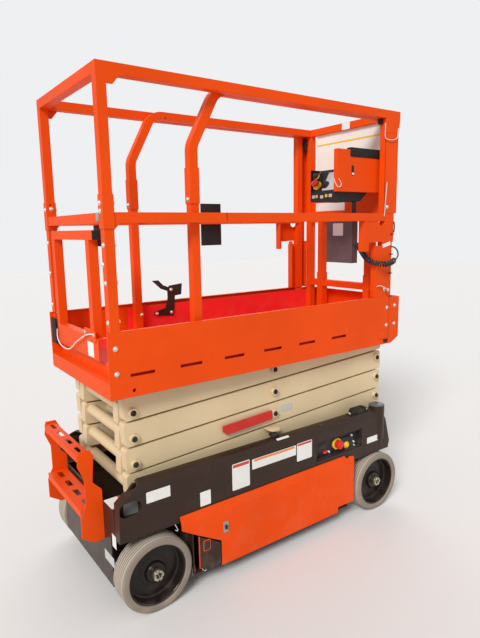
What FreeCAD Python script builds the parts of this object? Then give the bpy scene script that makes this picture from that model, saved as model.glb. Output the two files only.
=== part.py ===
import FreeCAD, Part
import math
import os
from FreeCAD import Vector

# Electric scissor lift, narrow slab class, in its stowed position.
# Millimetres. +X is the front (steered wheels, platform controls), +Z is up, and the
# origin is on the floor under the middle of the machine.

# Driving dimensions of the running gear
WHEEL_R = 161.5
WHEEL_W = 100.0
WHEEL_FACE_Y = 405.0
REAR_AXLE_X = -657.0
FRONT_AXLE_X = 703.0
TYRE_SHOULDER = 9.0
BEAD_IN = 2.0
RIM_R = 130.0
RIM_WALL = 8.0
RIM_EDGE_IN = 6.0
DISH_DEEP = 52.0
DISC_T = 10.0
HUB_R = 42.0
HUB_DEEP = 26.0
SPINDLE_R = 22.0
NUT_R = 23.0
NUT_T = 20.0
RUN_FIT = 0.05
TREAD_GROOVES = 5
GROOVE_FIRST = 16.0
GROOVE_PITCH = 7.0
GROOVE_W = 3.0
GROOVE_DEEP = 3.0
AXLE_PAD_HALF = 60.0
AXLE_PAD_T = 16.0
KINGPIN_Y = 277.0
KINGPIN_R = 15.0
EAR_R = 20.0
EAR_T = 14.0
KNUCKLE_HALF_H = 30.0
AXLE_BEAM_HALF_W = 20.0
AXLE_BEAM_H = 74.0

# Driving dimensions of the chassis
CHASSIS_HALF_Y = 385.0
SHEET = 6.0
CHASSIS_REAR_X = -809.0
CHASSIS_FRONT_X = 819.0
CHASSIS_DECK_Z = 354.0
CHASSIS_SHOULDER_Z = 538.0
CHASSIS_TOP_Z = 575.0
SHOULDER_IN = 40.0
BUTTON_AT = (420.0, 446.0)
BUTTON_R = 18.0
PANEL_X0 = 254.0
PANEL_X1 = 587.0
PANEL_Z0 = 397.0
PANEL_Z1 = 496.0
SIDE_REAR_TOP_X = -765.0
SIDE_REAR_TOP_Z = 505.0
TIE_SLOT = ((-776.0, 482.0, 30.0), (-738.0, 484.0, 28.0))
TIE_SLOT_Z = (455.0, 512.0)
REAR_WALL_Z1 = 468.0
FRONT_WALL_Z1 = 456.0
CORNER_BOX_FRONT_X = -700.0
CORNER_BOX_IN_Y = 335.0
FRONT_POST_X = 742.0
FRONT_POST_R = 36.0
POST_PROUD = 3.0
ARCH_Z = 331.0
TUNNEL_HALF_Y = 130.0
TUNNEL_Z0 = 110.0
TUNNEL_FRONT_X = 600.0
TRACK_IN_Y = 291.0
TRACK_WEB_Y = 327.0
TRACK_LIP = 6.0
TRACK_REAR_X = 10.0

# Driving dimensions of the side trays and their doors
TRAY_REAR_X = -482.0
TRAY_FRONT_X = 482.0
TRAY_Z0 = 80.0
DOOR_FACE_Y = 398.0
DOOR_T = 5.0
DOOR_GAP = 6.0
DOOR_REAR_X = -541.0
DOOR_FRONT_X = 518.0
DOOR_TOP_Z = 376.0
DOOR_BEND_Z = 336.0
DOOR_LEAN = 7.0
DOOR_BOTTOM_Z = 75.0
DOOR_HINGE_BACK = 3.0
DOOR_HINGE_IN = 2.0
DOOR_HINGE_R = 6.0
DOOR_PIN_R = 3.0
DOOR_PIN_ROOM = 0.3
DOOR_HINGE_Z = (120.0, 300.0)
DOOR_EAR_T = 6.0
DOOR_EAR_DEEP = 14.0
DOOR_EAR_PAST = 1.2
DOOR_EAR_GAP = 2.0
DOOR_REAR_FOLD_Z = 313.0
DOOR_STEP = (400.0, 105.0)
DOOR_TOP_CORNER = ((518.0, 360.0), (490.0, 366.0), (468.0, 356.0), (450.0, 376.0))
TRAY_T = 5.0
CORNER_PLATE = ((-458.0, 258.0), (-345.0, 190.0), (-345.0, 90.0), (-400.0, 80.0), (-452.0, 107.0))
BATTERY_X = (-400.0, 350.0)
BATTERY_TOP_Z = 320.0
PUMP_X = (-300.0, 260.0)
PUMP_TOP_Z = 310.0
STORE_OUT_Y = 372.0
STORE_GAP = 12.0
GUARD_X = (-330.0, 390.0)
GUARD_Y = (352.0, 364.0)
GUARD_Z = (54.0, 70.0)
GUARD_LINK_X = (-290.0, 320.0)
GUARD_LINK_W = 30.0
GUARD_LINK_PAST = 6.0

# Driving dimensions of the scissor
LEVELS = 4
ARM_PIN_L = 1492.0
LEVEL_H = 111.0
REAR_PIN_X = -685.0
BASE_PIN_Z = 506.0
ARM_H = 102.0
ARM_T = 50.0
ARM_OUT_Y = 285.0
ARM_IN_Y = 225.0
PIN_OFFSET = 18.0
PROP_L = 270.0
PROP_H = 44.0
PROP_T = 8.0
ARM_END = 36.0
PIN_R = 20.0
TUBE_R = 25.0
CAP_T = 10.0
LUG_T = 12.0
LUG_HALF_L = 60.0
ROLLER_R = 23.5
ROLLER_Y0 = 292.0
ROLLER_Y1 = 321.0
TRACK_GAP = 0.4

# Driving dimensions of the lift cylinder
CYL_BASE_A = 650.0
CYL_TOP_B = 650.0
BARREL_R = 45.0
BARREL_BACK = 60.0
ROD_R = 28.0
EYE_R = 38.0
EYE_HALF_Y = 24.0
CYL_PIN_R = 16.0

# Driving dimensions of the platform
PLAT_HALF_Y = 356.0
PLAT_REAR_X = -800.0
PLAT_FRONT_X = 816.0
TRACK_PAST_X = 14.0
SKIRT_Z0 = 928.0
SKIRT_Z1 = 1192.0
DECK_Z = 1040.0
DECK_T = 6.0
SKIRT_LIP = 16.0
LIP_T = 4.0
MEMBERS = 7
MEMBER_W = 30.0
MEMBER_H = 30.0
MEMBER_CLEAR = 5.0
SLOT_Z = 1015.0
SLOT_L = 106.0
SLOT_H = 13.0
SLOT_STARTS = (-714.0, -492.0, -272.0, -54.0, 161.0, 381.0)
SILL_Z = 992.0
SILL_DEEP = 50.0
TUBE = 38.0
POST_REAR_X = PLAT_REAR_X + 14.0
TOP_RAIL_Z1 = 2154.0
MID_RAIL_Z1 = 1636.0
RAIL_SIZE = 40.0
FOOT_DEEP = 32.0
SLEEVE_Z0 = 1576.0
SLEEVE_Z1 = 1701.0
SLEEVE_GROW = 3.0
CORNER_X = PLAT_FRONT_X - 59.0
CORNER_FRONT_X = CORNER_X + 99.0
BRACKET_PAST = 10.0
BRACKET_H = 110.0
WIDE_PLATE_X0 = CORNER_X - 148.0
WIDE_PLATE_X1 = CORNER_X + 83.0
WIDE_PLATE_Z0 = 1485.0
WIDE_STRIP_H = 45.0
PLATE_SET_IN = 2.0
LOW_COLUMN_X0 = CORNER_X - 50.0
LOW_COLUMN_X1 = CORNER_X + 73.0
RELIEF_X = CORNER_X - 12.0
RELIEF_R = 24.0
NOTCH_X0 = CORNER_X - 60.0
NOTCH_X1 = CORNER_X - 4.0
NOTCH_H = 18.0

# Driving dimensions of the extension
EXT_REAR_X = -418.0
EXT_FRONT_X = PLAT_FRONT_X + 88.0
EXT_SIDE_X0 = PLAT_FRONT_X + 5.0
EXT_DECK_T = 4.0
EXT_DECK_LIFT = 6.0
EXT_FLOOR_Z0 = DECK_Z + EXT_DECK_LIFT
EXT_FLOOR_Z1 = EXT_FLOOR_Z0 + EXT_DECK_T
EXT_HALF_Y = PLAT_HALF_Y - 46.0
EXT_SKIRT_Z1 = 1185.0
EXT_CHAMFER_X = EXT_SIDE_X0 + 24.0
EXT_CHAMFER_Z = 960.0
SIDE_BOARD_T = 4.0
SIDE_BOARD_Z1 = 1177.0
ARCH_X = -372.0
ARCH_OUT_Y = EXT_HALF_Y
ARCH_BEND_Z = 1902.0
ARCH_LEAN = 123.0
ARCH_CUT_BACK = (22.0, 52.0)
ARCH_SLEEVE_Z0 = 1673.0
ARCH_SLEEVE_Z1 = 1817.0
FRAME_X0 = PLAT_FRONT_X + 7.0
FRAME_X1 = FRAME_X0 + 40.0
LOW_BAR_Z0 = 1209.0
INNER_BAR_Y = ARCH_OUT_Y - 142.0
INNER_SLEEVE_Z1 = 1292.0
BOARD_X = FRAME_X0 + 17.0
BOARD_T = 4.0
BOARD_Z0 = 1862.0
WHITE_BOARD_Y = (52.0 - EXT_HALF_Y, EXT_HALF_Y - 74.0)
STATION_X0 = FRAME_X0 - 346.0
STATION_X1 = FRAME_X0 - 101.0
STATION_Y0 = 36.0 - ARCH_OUT_Y
STATION_Y1 = STATION_Y0 + 180.0
STATION_Z0 = 1700.0
STATION_Z1 = 1865.0
STATION_LIP = 45.0
STATION_LEAN = 70.0
STATION_BACK = (60.0, 50.0)
CHEEK_T = 6.0
SHIELD_T = 3.0
SHIELD_DEEP = 26.0
SHIELD_PAST = 12.0
SHIELD_RISE = (45.0, 87.0)
SPACER_X = (60.0, 180.0)
SPACER_Z = (30.0, 90.0)
MANUAL_DEEP = 44.0
MANUAL_Y0 = -117.0
MANUAL_Y1 = 85.0
MANUAL_Z0 = 1362.0

# Driving dimensions of the plate on the far rail and of the pedal that locks the sliding floor
RAIL_PLATE_X = (67.0, 201.0)
RAIL_PLATE_Z = (1478.0, 1710.0)
RAIL_PLATE_T = 4.0
PEDAL_EDGE = ((-271.0, 1131.0), (-252.0, 1143.0), (-202.0, 1156.0), (-187.0, 1210.0), (-188.0, 1253.0),
              (-177.0, 1274.0), (-99.0, 1282.0), (-105.0, 1222.0), (-144.0, 1218.0), (-154.0, 1119.0),
              (-163.0, 1111.0), (-267.0, 1121.0))
HOOK_EDGE = ((-277.0, 1307.0), (-240.0, 1307.0), (-214.0, 1280.0), (-180.0, 1266.0), (-184.0, 1244.0),
             (-227.0, 1261.0))
PEDAL_BOLTS = ((-258.0, 1130.0), (-171.0, 1130.0), (-169.0, 1252.0))
PEDAL_BOLT_R = 9.0
PEDAL_BOLT_HEAD = 6.0

# Curly cord between the front frame and the near corner column
CURLY_R = 15.0
CURLY_ROUTE = ((790.0, -117.4, 1468.0), (790.0, -143.0, 1468.0), (768.0, -180.0, 1453.0),
               (738.0, -227.0, 1432.0), (708.0, -275.0, 1409.0), (679.5, -324.0, 1390.0),
               (687.8, -366.8, 1377.0), (721.5, -394.6, 1370.0), (765.0, -393.0, 1372.0),
               (800.0, -388.0, 1381.0), (830.0, -383.0, 1394.0))
TAIL_R = 3.0
TAIL_ROUTE = ((830.0, -383.0, 1394.0), (852.0, -378.0, 1403.0), (866.0, -371.0, 1419.0), (864.0, -366.0, 1437.0),
              (852.0, -365.0, 1449.0), (838.0, -364.5, 1456.5), (826.0, -361.5, 1459.0), (821.0, -356.0, 1459.0))

# Driving dimensions of the gate
GATE_HINGE_Y = PLAT_HALF_Y - 74.0
GATE_LATCH_Y = 130.0 - PLAT_HALF_Y
GATE_INSET = 38.0
GATE_X = POST_REAR_X + 18.0
GATE_TOP_Z = 1573.0
GATE_PIN_Y = PLAT_HALF_Y - 56.0
GATE_PIN_R = 5.0
GATE_HINGE_Z = (1240.0, 1480.0)
HINGE_H = 26.0
GATE_PANEL_Z0 = 1056.0
GATE_PANEL_Z1 = 1142.0

# Driving dimensions of the ladder
LADDER_HALF_Y = 220.0
LADDER_REAR_X = -904.0
LADDER_Z0 = 295.0
LADDER_Z1 = 700.0
LADDER_WAIST_Z = (420.0, 470.0, 580.0)
LADDER_MOUNT_Z = (520.0, 560.0, 672.0)
LADDER_STEP_Z = 450.0

os.makedirs("parts", exist_ok=True)


def block(x0, x1, y0, y1, z0, z1):
    """A box between two corners."""
    return Part.makeBox(x1 - x0, y1 - y0, z1 - z0, Vector(x0, y0, z0))


def rod(start, end, radius):
    """A round bar between two points."""
    a, b = Vector(*start), Vector(*end)
    return Part.makeCylinder(radius, (b - a).Length, a, b - a)


def face_of(points):
    corners = [Vector(*p) for p in points]
    return Part.Face(Part.makePolygon(corners + corners[:1]))


def side_plate(outline, y0, y1):
    """A plate seen from the side: an x, z outline between two y planes."""
    return face_of([(x, y0, z) for x, z in outline]).extrude(Vector(0, y1 - y0, 0))


def cross_bar(outline, x0, x1):
    """A bar along x with a y, z section."""
    return face_of([(x0, y, z) for y, z in outline]).extrude(Vector(x1 - x0, 0, 0))


def joined(pieces):
    if len(pieces) == 1:
        return pieces[0]
    return pieces[0].multiFuse(pieces[1:]).removeSplitter()


def mirrored(shape):
    return shape.mirror(Vector(0, 0, 0), Vector(0, 1, 0))


def both_sides(shape):
    """The piece and its mirror image across the machine's middle."""
    return [shape, mirrored(shape)]


def save(node, shape):
    solids = shape.Solids
    if not solids or not shape.isValid():
        raise ValueError(node + " is not valid")
    out = solids[0] if len(solids) == 1 else Part.makeCompound(solids)
    out.exportStep(os.path.join("parts", node + ".step"))
    print(f"{node:24s} solids {len(solids)} volume {sum(s.Volume for s in solids) / 1e6:9.3f} litre")


# Chassis: bent side sheets, deck plate, tunnel, roller tracks and corner boxes

def chassis_side():
    """One side sheet, y positive, with its rounded shoulder turned inwards."""
    y, t, top = CHASSIS_HALF_Y, SHEET, CHASSIS_TOP_Z
    sh, run = CHASSIS_SHOULDER_Z, SHOULDER_IN
    outer = [(y, ARCH_Z), (y, sh), (y - 0.14 * run, top - 0.45 * (top - sh)),
             (y - 0.45 * run, top - 0.12 * (top - sh)), (y - run, top)]
    inner = [(y - run, top - t), (y - 0.45 * run, top - 0.12 * (top - sh) - t),
             (y - 0.14 * run - t, top - 0.45 * (top - sh)), (y - t, sh), (y - t, ARCH_Z)]
    web = TRACK_WEB_Y
    section = outer + [(web, top), (web, top - t)] + inner
    sheet = cross_bar(section, CHASSIS_REAR_X, CHASSIS_FRONT_X)
    front_low = CHASSIS_FRONT_X - 10.0
    low = CHASSIS_DECK_Z - SHEET
    keep = side_plate([(CHASSIS_REAR_X, low), (CHASSIS_REAR_X + 4.0, SIDE_REAR_TOP_Z),
                       (SIDE_REAR_TOP_X, CHASSIS_SHOULDER_Z), (CORNER_BOX_FRONT_X, top + 1.0),
                       (FRONT_POST_X, top + 1.0), (FRONT_POST_X + 40.0, SIDE_REAR_TOP_Z),
                       (front_low + 10.0, ARCH_Z + 40.0), (front_low, ARCH_Z),
                       (FRONT_AXLE_X - 190.0, ARCH_Z), (DOOR_FRONT_X, low)],
                      0.0, y + 1.0)
    sheet = sheet.common(keep)
    ends = [rod((x, y - 20.0, z), (x, y + 5.0, z), r) for x, z, r in TIE_SLOT]
    slot = joined(ends + [block(TIE_SLOT[0][0], TIE_SLOT[1][0], y - 20.0, y + 5.0, *TIE_SLOT_Z)])
    return sheet.cut(slot)


def roller_track():
    """The channel that the lower scissor roller runs in, y positive, with its carrier web."""
    reach = ROLLER_R + TRACK_GAP
    lip, web, t = TRACK_LIP, TRACK_WEB_Y, SHEET
    z0, z1 = BASE_PIN_Z - reach, BASE_PIN_Z + reach
    front = FRONT_POST_X + 72.0
    top = block(TRACK_REAR_X, front, TRACK_IN_Y, web, z1, z1 + lip)
    bottom = block(TRACK_REAR_X, front, TRACK_IN_Y, web, z0 - lip, z0)
    wall = block(CORNER_BOX_FRONT_X, front, web, web + t, CHASSIS_DECK_Z, CHASSIS_TOP_Z)
    return joined([wall, top, bottom])


def pivot_lug():
    """The plate that holds the lowest rear scissor pin, y positive."""
    x, z = REAR_PIN_X, BASE_PIN_Z
    y0, y1 = TRACK_IN_Y, TRACK_IN_Y + LUG_T
    plate = side_plate([(x - 48.0, CHASSIS_DECK_Z), (x - 48.0, z + 10.0), (x - 22.0, z + 36.0),
                        (x + 22.0, z + 36.0), (x + 48.0, z + 10.0), (x + 90.0, CHASSIS_DECK_Z)], y0, y1)
    gusset = block(x - 48.0, x - 40.0, y1, CORNER_BOX_IN_Y + SHEET, CHASSIS_DECK_Z, z)
    return joined([plate, gusset]).cut(rod((x, y0 - 1.0, z), (x, y1 + 1.0, z), PIN_R + RUN_FIT))


def corner_box():
    """Closed rear corner with the tie-down slot in its outer wall, y positive."""
    y0, y1, t = CORNER_BOX_IN_Y, CHASSIS_HALF_Y - SHEET, SHEET
    outline = [(CHASSIS_REAR_X, CHASSIS_DECK_Z), (CHASSIS_REAR_X + 4.0, SIDE_REAR_TOP_Z),
               (SIDE_REAR_TOP_X, CHASSIS_SHOULDER_Z), (CORNER_BOX_FRONT_X, CHASSIS_SHOULDER_Z),
               (CORNER_BOX_FRONT_X, CHASSIS_DECK_Z)]
    inside = [(CHASSIS_REAR_X + t, CHASSIS_DECK_Z + t), (CHASSIS_REAR_X + 4.0 + t, SIDE_REAR_TOP_Z - 3.0),
              (SIDE_REAR_TOP_X + 2.0, CHASSIS_SHOULDER_Z - t), (CORNER_BOX_FRONT_X - t, CHASSIS_SHOULDER_Z - t),
              (CORNER_BOX_FRONT_X - t, CHASSIS_DECK_Z + t)]
    return side_plate(outline, y0, y1).cut(side_plate(inside, y0 + t, y1 + 1.0))


def front_post():
    """Round corner post outside the roller track, y positive."""
    post = Part.makeCylinder(FRONT_POST_R, CHASSIS_TOP_Z + POST_PROUD - CHASSIS_DECK_Z,
                             Vector(FRONT_POST_X, CHASSIS_HALF_Y - FRONT_POST_R + POST_PROUD, CHASSIS_DECK_Z))
    return post.common(block(FRONT_POST_X - FRONT_POST_R, FRONT_POST_X + FRONT_POST_R, TRACK_WEB_Y,
                             CHASSIS_HALF_Y + POST_PROUD, CHASSIS_DECK_Z, CHASSIS_TOP_Z + POST_PROUD))


def chassis_wall():
    """Everything above the deck plate on one side, y positive."""
    return joined([chassis_side(), roller_track(), pivot_lug(), corner_box(), front_post()])


def panel_recess():
    """Opening in the near side sheet for the lower control panel."""
    y = -CHASSIS_HALF_Y
    return block(PANEL_X0, PANEL_X1, y - 1.0, y + SHEET + 1.0, PANEL_Z0, PANEL_Z1)


def chassis_deck():
    """Deck plate, battery tunnel and low end walls."""
    side_in, end_in = CHASSIS_HALF_Y - SHEET, CORNER_BOX_IN_Y
    under = CHASSIS_DECK_Z - SHEET
    rear, front = CHASSIS_REAR_X, CHASSIS_FRONT_X - 10.0
    deck = block(rear, front, -side_in, side_in, under, CHASSIS_DECK_Z)
    tunnel = block(rear, TUNNEL_FRONT_X, -TUNNEL_HALF_Y, TUNNEL_HALF_Y, TUNNEL_Z0, under)
    hollow = block(rear + SHEET, TUNNEL_FRONT_X - SHEET, -TUNNEL_HALF_Y + SHEET, TUNNEL_HALF_Y - SHEET,
                   TUNNEL_Z0 + SHEET, under)
    rear_low = block(rear, rear + SHEET, -290.0, 290.0, TUNNEL_Z0, under)
    rear_wall = block(rear, rear + SHEET, -end_in, end_in, CHASSIS_DECK_Z, REAR_WALL_Z1)
    front_wall = block(front - SHEET, front, -TRACK_IN_Y, TRACK_IN_Y, CHASSIS_DECK_Z, FRONT_WALL_Z1)
    return joined([deck, tunnel.cut(hollow), rear_low, rear_wall, front_wall])


def side_trays():
    """Open trays between the wheels, with the dark corner plate below each door's rear edge."""
    x0, x1, t = TRAY_REAR_X, TRAY_FRONT_X, TRAY_T
    y0, y1 = TUNNEL_HALF_Y, DOOR_FACE_Y - DOOR_T - DOOR_GAP
    tray = block(x0, x1, y0, y1, TRAY_Z0, CHASSIS_DECK_Z - SHEET)
    room = block(x0 + t, x1 - t, y0 + t, y1 + 1.0, TRAY_Z0 + t, CHASSIS_DECK_Z)
    plate = side_plate(CORNER_PLATE, y1, DOOR_FACE_Y)
    x, y = door_hinge()
    low, high = DOOR_HINGE_Z[0] - DOOR_EAR_GAP, DOOR_HINGE_Z[1] + DOOR_EAR_GAP
    pin = rod((x, y, low - DOOR_EAR_T), (x, y, high + DOOR_EAR_T), DOOR_PIN_R)
    past = DOOR_EAR_PAST
    ears = [block(x1 - t, x + past, y - DOOR_EAR_DEEP, y + past, z, z + DOOR_EAR_T)
            for z in (low - DOOR_EAR_T, high)]
    return joined([tray.cut(room), plate, pin] + ears)


def door_hinge():
    """Place in x and y of the upright pin of a tray door, y positive."""
    return DOOR_FRONT_X - DOOR_HINGE_BACK, DOOR_FACE_Y - DOOR_T - DOOR_HINGE_IN


def tray_door():
    """Bent cover of a side tray, y positive."""
    y, t = DOOR_FACE_Y, DOOR_T
    lean = DOOR_LEAN
    section = [(y, DOOR_BOTTOM_Z), (y, DOOR_BEND_Z), (y - lean, DOOR_TOP_Z), (y - lean - t, DOOR_TOP_Z),
               (y - t, DOOR_BEND_Z), (y - t, DOOR_BOTTOM_Z)]
    sheet = cross_bar(section, DOOR_REAR_X, DOOR_FRONT_X)
    edge = DOOR_GAP
    (rear_x, rear_z), (low_x, low_z) = CORNER_PLATE[:2]
    step_x, step_z = DOOR_STEP
    outline = [(DOOR_REAR_X, DOOR_TOP_Z), (DOOR_REAR_X + 4.0, DOOR_REAR_FOLD_Z), (rear_x - edge, rear_z + 10.0),
               (low_x + edge, low_z + edge), (low_x + edge, DOOR_BOTTOM_Z), (step_x, DOOR_BOTTOM_Z),
               (step_x, step_z), (DOOR_FRONT_X, step_z), *DOOR_TOP_CORNER]
    door = sheet.common(side_plate(outline, 0.0, y + 1.0))
    hx, hy = door_hinge()
    low, high = DOOR_HINGE_Z
    barrel = rod((hx, hy, low), (hx, hy, high), DOOR_HINGE_R)
    room = 2 * DOOR_EAR_T
    door = door.cut(rod((hx, hy, low - room), (hx, hy, high + room), DOOR_PIN_R + DOOR_PIN_ROOM))
    return joined([door, barrel]).cut(rod((hx, hy, low - 1.0), (hx, hy, high + 1.0), DOOR_PIN_R + RUN_FIT))


# Running gear

def tyre(x, side):
    """Solid grey tyre with rounded shoulders and tread grooves, as one turned ring."""
    y1 = WHEEL_FACE_Y
    y0 = y1 - WHEEL_W
    r0, r1, shoulder = RIM_R, WHEEL_R, TYRE_SHOULDER
    pts = [(r0, y0 + BEAD_IN), (r1 - shoulder, y0), (r1, y0 + shoulder)]
    for k in reversed(range(TREAD_GROOVES)):
        mid = y1 - GROOVE_FIRST - GROOVE_PITCH * k
        pts += [(r1, mid - GROOVE_W / 2), (r1 - GROOVE_DEEP, mid), (r1, mid + GROOVE_W / 2)]
    pts += [(r1, y1 - shoulder), (r1 - shoulder, y1), (r0, y1 - BEAD_IN)]
    profile = face_of([(x + r, y, WHEEL_R) for r, y in pts])
    ring = profile.revolve(Vector(x, 0, WHEEL_R), Vector(0, 1, 0), 360)
    return ring if side > 0 else mirrored(ring)


def rim(x, side):
    """Dished disc with a deep hub, bored for its spindle."""
    y1 = WHEEL_FACE_Y
    y0 = y1 - WHEEL_W
    bore, wall = SPINDLE_R + RUN_FIT, RIM_R - RIM_WALL
    edge0, edge1 = y0 + RIM_EDGE_IN, y1 - RIM_EDGE_IN
    front, hub = y1 - DISH_DEEP, y1 - HUB_DEEP
    back = front - DISC_T
    pts = [(bore, edge0), (HUB_R, edge0), (HUB_R, back), (wall, back), (wall, edge0), (RIM_R, edge0),
           (RIM_R, edge1), (wall, edge1), (wall, front), (HUB_R + RIM_WALL, front), (HUB_R, hub), (bore, hub)]
    profile = face_of([(x + r, y, WHEEL_R) for r, y in pts])
    disc = profile.revolve(Vector(x, 0, WHEEL_R), Vector(0, 1, 0), 360)
    return disc if side > 0 else mirrored(disc)


def spindle(x, y_in):
    """Stub shaft with its castle nut, y positive."""
    y_nut = WHEEL_FACE_Y - HUB_DEEP + 1.0
    shaft = rod((x, y_in, WHEEL_R), (x, y_nut, WHEEL_R), SPINDLE_R)
    nut = rod((x, y_nut, WHEEL_R), (x, y_nut + NUT_T, WHEEL_R), NUT_R)
    return joined([shaft, nut])


def rear_axle():
    """Stub axles bolted to both sides of the tunnel."""
    x = REAR_AXLE_X
    y_in = WHEEL_FACE_Y - WHEEL_W
    y_pad = TUNNEL_HALF_Y + AXLE_PAD_T
    pad = block(x - AXLE_PAD_HALF, x + AXLE_PAD_HALF, TUNNEL_HALF_Y, y_pad, WHEEL_R - HUB_R, WHEEL_R + HUB_R)
    cone = Part.makeCone(HUB_R, EAR_R * 1.5, y_in - 3.0 - y_pad, Vector(x, y_pad, WHEEL_R), Vector(0, 1, 0))
    return joined([pad, cone, spindle(x, y_in - 4.0)])


def front_axle():
    """Cross beam with a forked end round each kingpin, hung under the chassis deck."""
    x, half_h = FRONT_AXLE_X, AXLE_BEAM_H / 2
    z0, z1 = WHEEL_R - half_h, WHEEL_R + half_h
    beam = block(x - AXLE_BEAM_HALF_W, x + AXLE_BEAM_HALF_W, -KINGPIN_Y + 30.0, KINGPIN_Y - 30.0, z0, z1)
    pedestal = block(x - 53.0, x + 53.0, -100.0, 100.0, z1, CHASSIS_DECK_Z - SHEET)
    pieces = [beam, pedestal]
    for y in (-KINGPIN_Y, KINGPIN_Y):
        for ear_z in (WHEEL_R - KNUCKLE_HALF_H - EAR_T, WHEEL_R + KNUCKLE_HALF_H):
            inner = y - 36.0 if y > 0 else y + 36.0
            ear = joined([Part.makeCylinder(EAR_R, EAR_T, Vector(x, y, ear_z)),
                          block(x - AXLE_BEAM_HALF_W, x + AXLE_BEAM_HALF_W, min(y, inner), max(y, inner),
                                ear_z, ear_z + EAR_T)])
            pieces.append(ear)
    beam = joined(pieces)
    for y in (-KINGPIN_Y, KINGPIN_Y):
        beam = beam.cut(Part.makeCylinder(KINGPIN_R + RUN_FIT, 200.0, Vector(x, y, WHEEL_R - 100.0)))
    return beam


def knuckle():
    """Steering knuckle: kingpin, body between the fork ears and the wheel spindle, y positive."""
    x, y = FRONT_AXLE_X, KINGPIN_Y
    half = KNUCKLE_HALF_H - 0.3
    pin_half = KNUCKLE_HALF_H + EAR_T
    pin = Part.makeCylinder(KINGPIN_R, 2 * pin_half, Vector(x, y, WHEEL_R - pin_half))
    cap = Part.makeCylinder(KINGPIN_R + 4.0, 6.0, Vector(x, y, WHEEL_R + pin_half + 0.3))
    neck = Part.makeCylinder(KINGPIN_R, 0.6, Vector(x, y, WHEEL_R + pin_half - 0.2))
    body = joined([Part.makeCylinder(EAR_R, 2 * half, Vector(x, y, WHEEL_R - half)),
                   rod((x, y, WHEEL_R), (x, WHEEL_FACE_Y - WHEEL_W + 4.0, WHEEL_R), 27.0)])
    return joined([pin, neck, cap, body, spindle(x, y)])


# Scissor

def pin_height(n):
    return BASE_PIN_Z + LEVEL_H * n


REST_ANGLE = math.asin(LEVEL_H / ARM_PIN_L)
PIN_RUN = ARM_PIN_L * math.cos(REST_ANGLE)
FRONT_PIN_X = REAR_PIN_X + PIN_RUN
MID_X = REAR_PIN_X + PIN_RUN / 2


def arm_point(level, lean, along, up):
    """A point on the line through an arm's pins. lean is 1 for an arm that rises to the
    front and -1 for one that rises to the rear; along and up start at its middle pin."""
    z = (pin_height(level) + pin_height(level + 1)) / 2
    c, s = math.cos(REST_ANGLE), math.sin(REST_ANGLE) * lean
    return MID_X + along * c - up * s, z + along * s + up * c


def arm_beam(level, lean, y_out):
    """Rectangular tube of one arm. Its end pins lie off the tube's own middle line."""
    half = ARM_PIN_L / 2
    slope = math.atan2(PIN_OFFSET, half)
    length = math.hypot(half, PIN_OFFSET) + ARM_END
    turn = REST_ANGLE * lean - slope * lean
    z = (pin_height(level) + pin_height(level + 1)) / 2
    beam = block(-length, length, y_out - ARM_T, y_out, -ARM_H / 2, ARM_H / 2)
    edges = [e for e in beam.Edges if abs(e.Vertexes[0].X - e.Vertexes[1].X) < 0.1
             and abs(e.Vertexes[0].Z - e.Vertexes[1].Z) < 0.1]
    beam = beam.makeFillet(14.0, edges)
    beam.rotate(Vector(0, 0, 0), Vector(0, -1, 0), math.degrees(turn))
    beam.translate(Vector(MID_X, 0, z))
    return beam


def outer_arms(level):
    """Pair of outer arms, rear end low and front end high, tied by their front shaft."""
    pieces = both_sides(arm_beam(level, 1, ARM_OUT_Y))
    z_rear, z_front, z_mid = pin_height(level), pin_height(level + 1), pin_height(level + 0.5)
    reach = ROLLER_Y1 if level == LEVELS - 1 else ARM_OUT_Y + CAP_T
    pieces.append(rod((FRONT_PIN_X, -reach, z_front), (FRONT_PIN_X, reach, z_front), PIN_R))
    if level == LEVELS - 1:
        pieces += both_sides(rod((FRONT_PIN_X, ROLLER_Y0, z_front), (FRONT_PIN_X, ROLLER_Y1, z_front), ROLLER_R))
    if level == 0:
        lug_out = TRACK_IN_Y + LUG_T
        pieces.append(rod((REAR_PIN_X, -lug_out, z_rear), (REAR_PIN_X, lug_out, z_rear), PIN_R))
        pieces.append(rod((REAR_PIN_X, -ARM_OUT_Y + ARM_T, z_rear), (REAR_PIN_X, ARM_OUT_Y - ARM_T, z_rear), TUBE_R))
    body = joined(pieces)
    cuts = both_sides(rod((MID_X, ARM_OUT_Y - ARM_T - 1.0, z_mid), (MID_X, ARM_OUT_Y + 1.0, z_mid), PIN_R + RUN_FIT))
    if level > 0:
        cuts += both_sides(rod((REAR_PIN_X, ARM_OUT_Y - ARM_T - 1.0, z_rear),
                               (REAR_PIN_X, ARM_OUT_Y + 1.0, z_rear), PIN_R + RUN_FIT))
    for cut in cuts:
        body = body.cut(cut)
    return body


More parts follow.
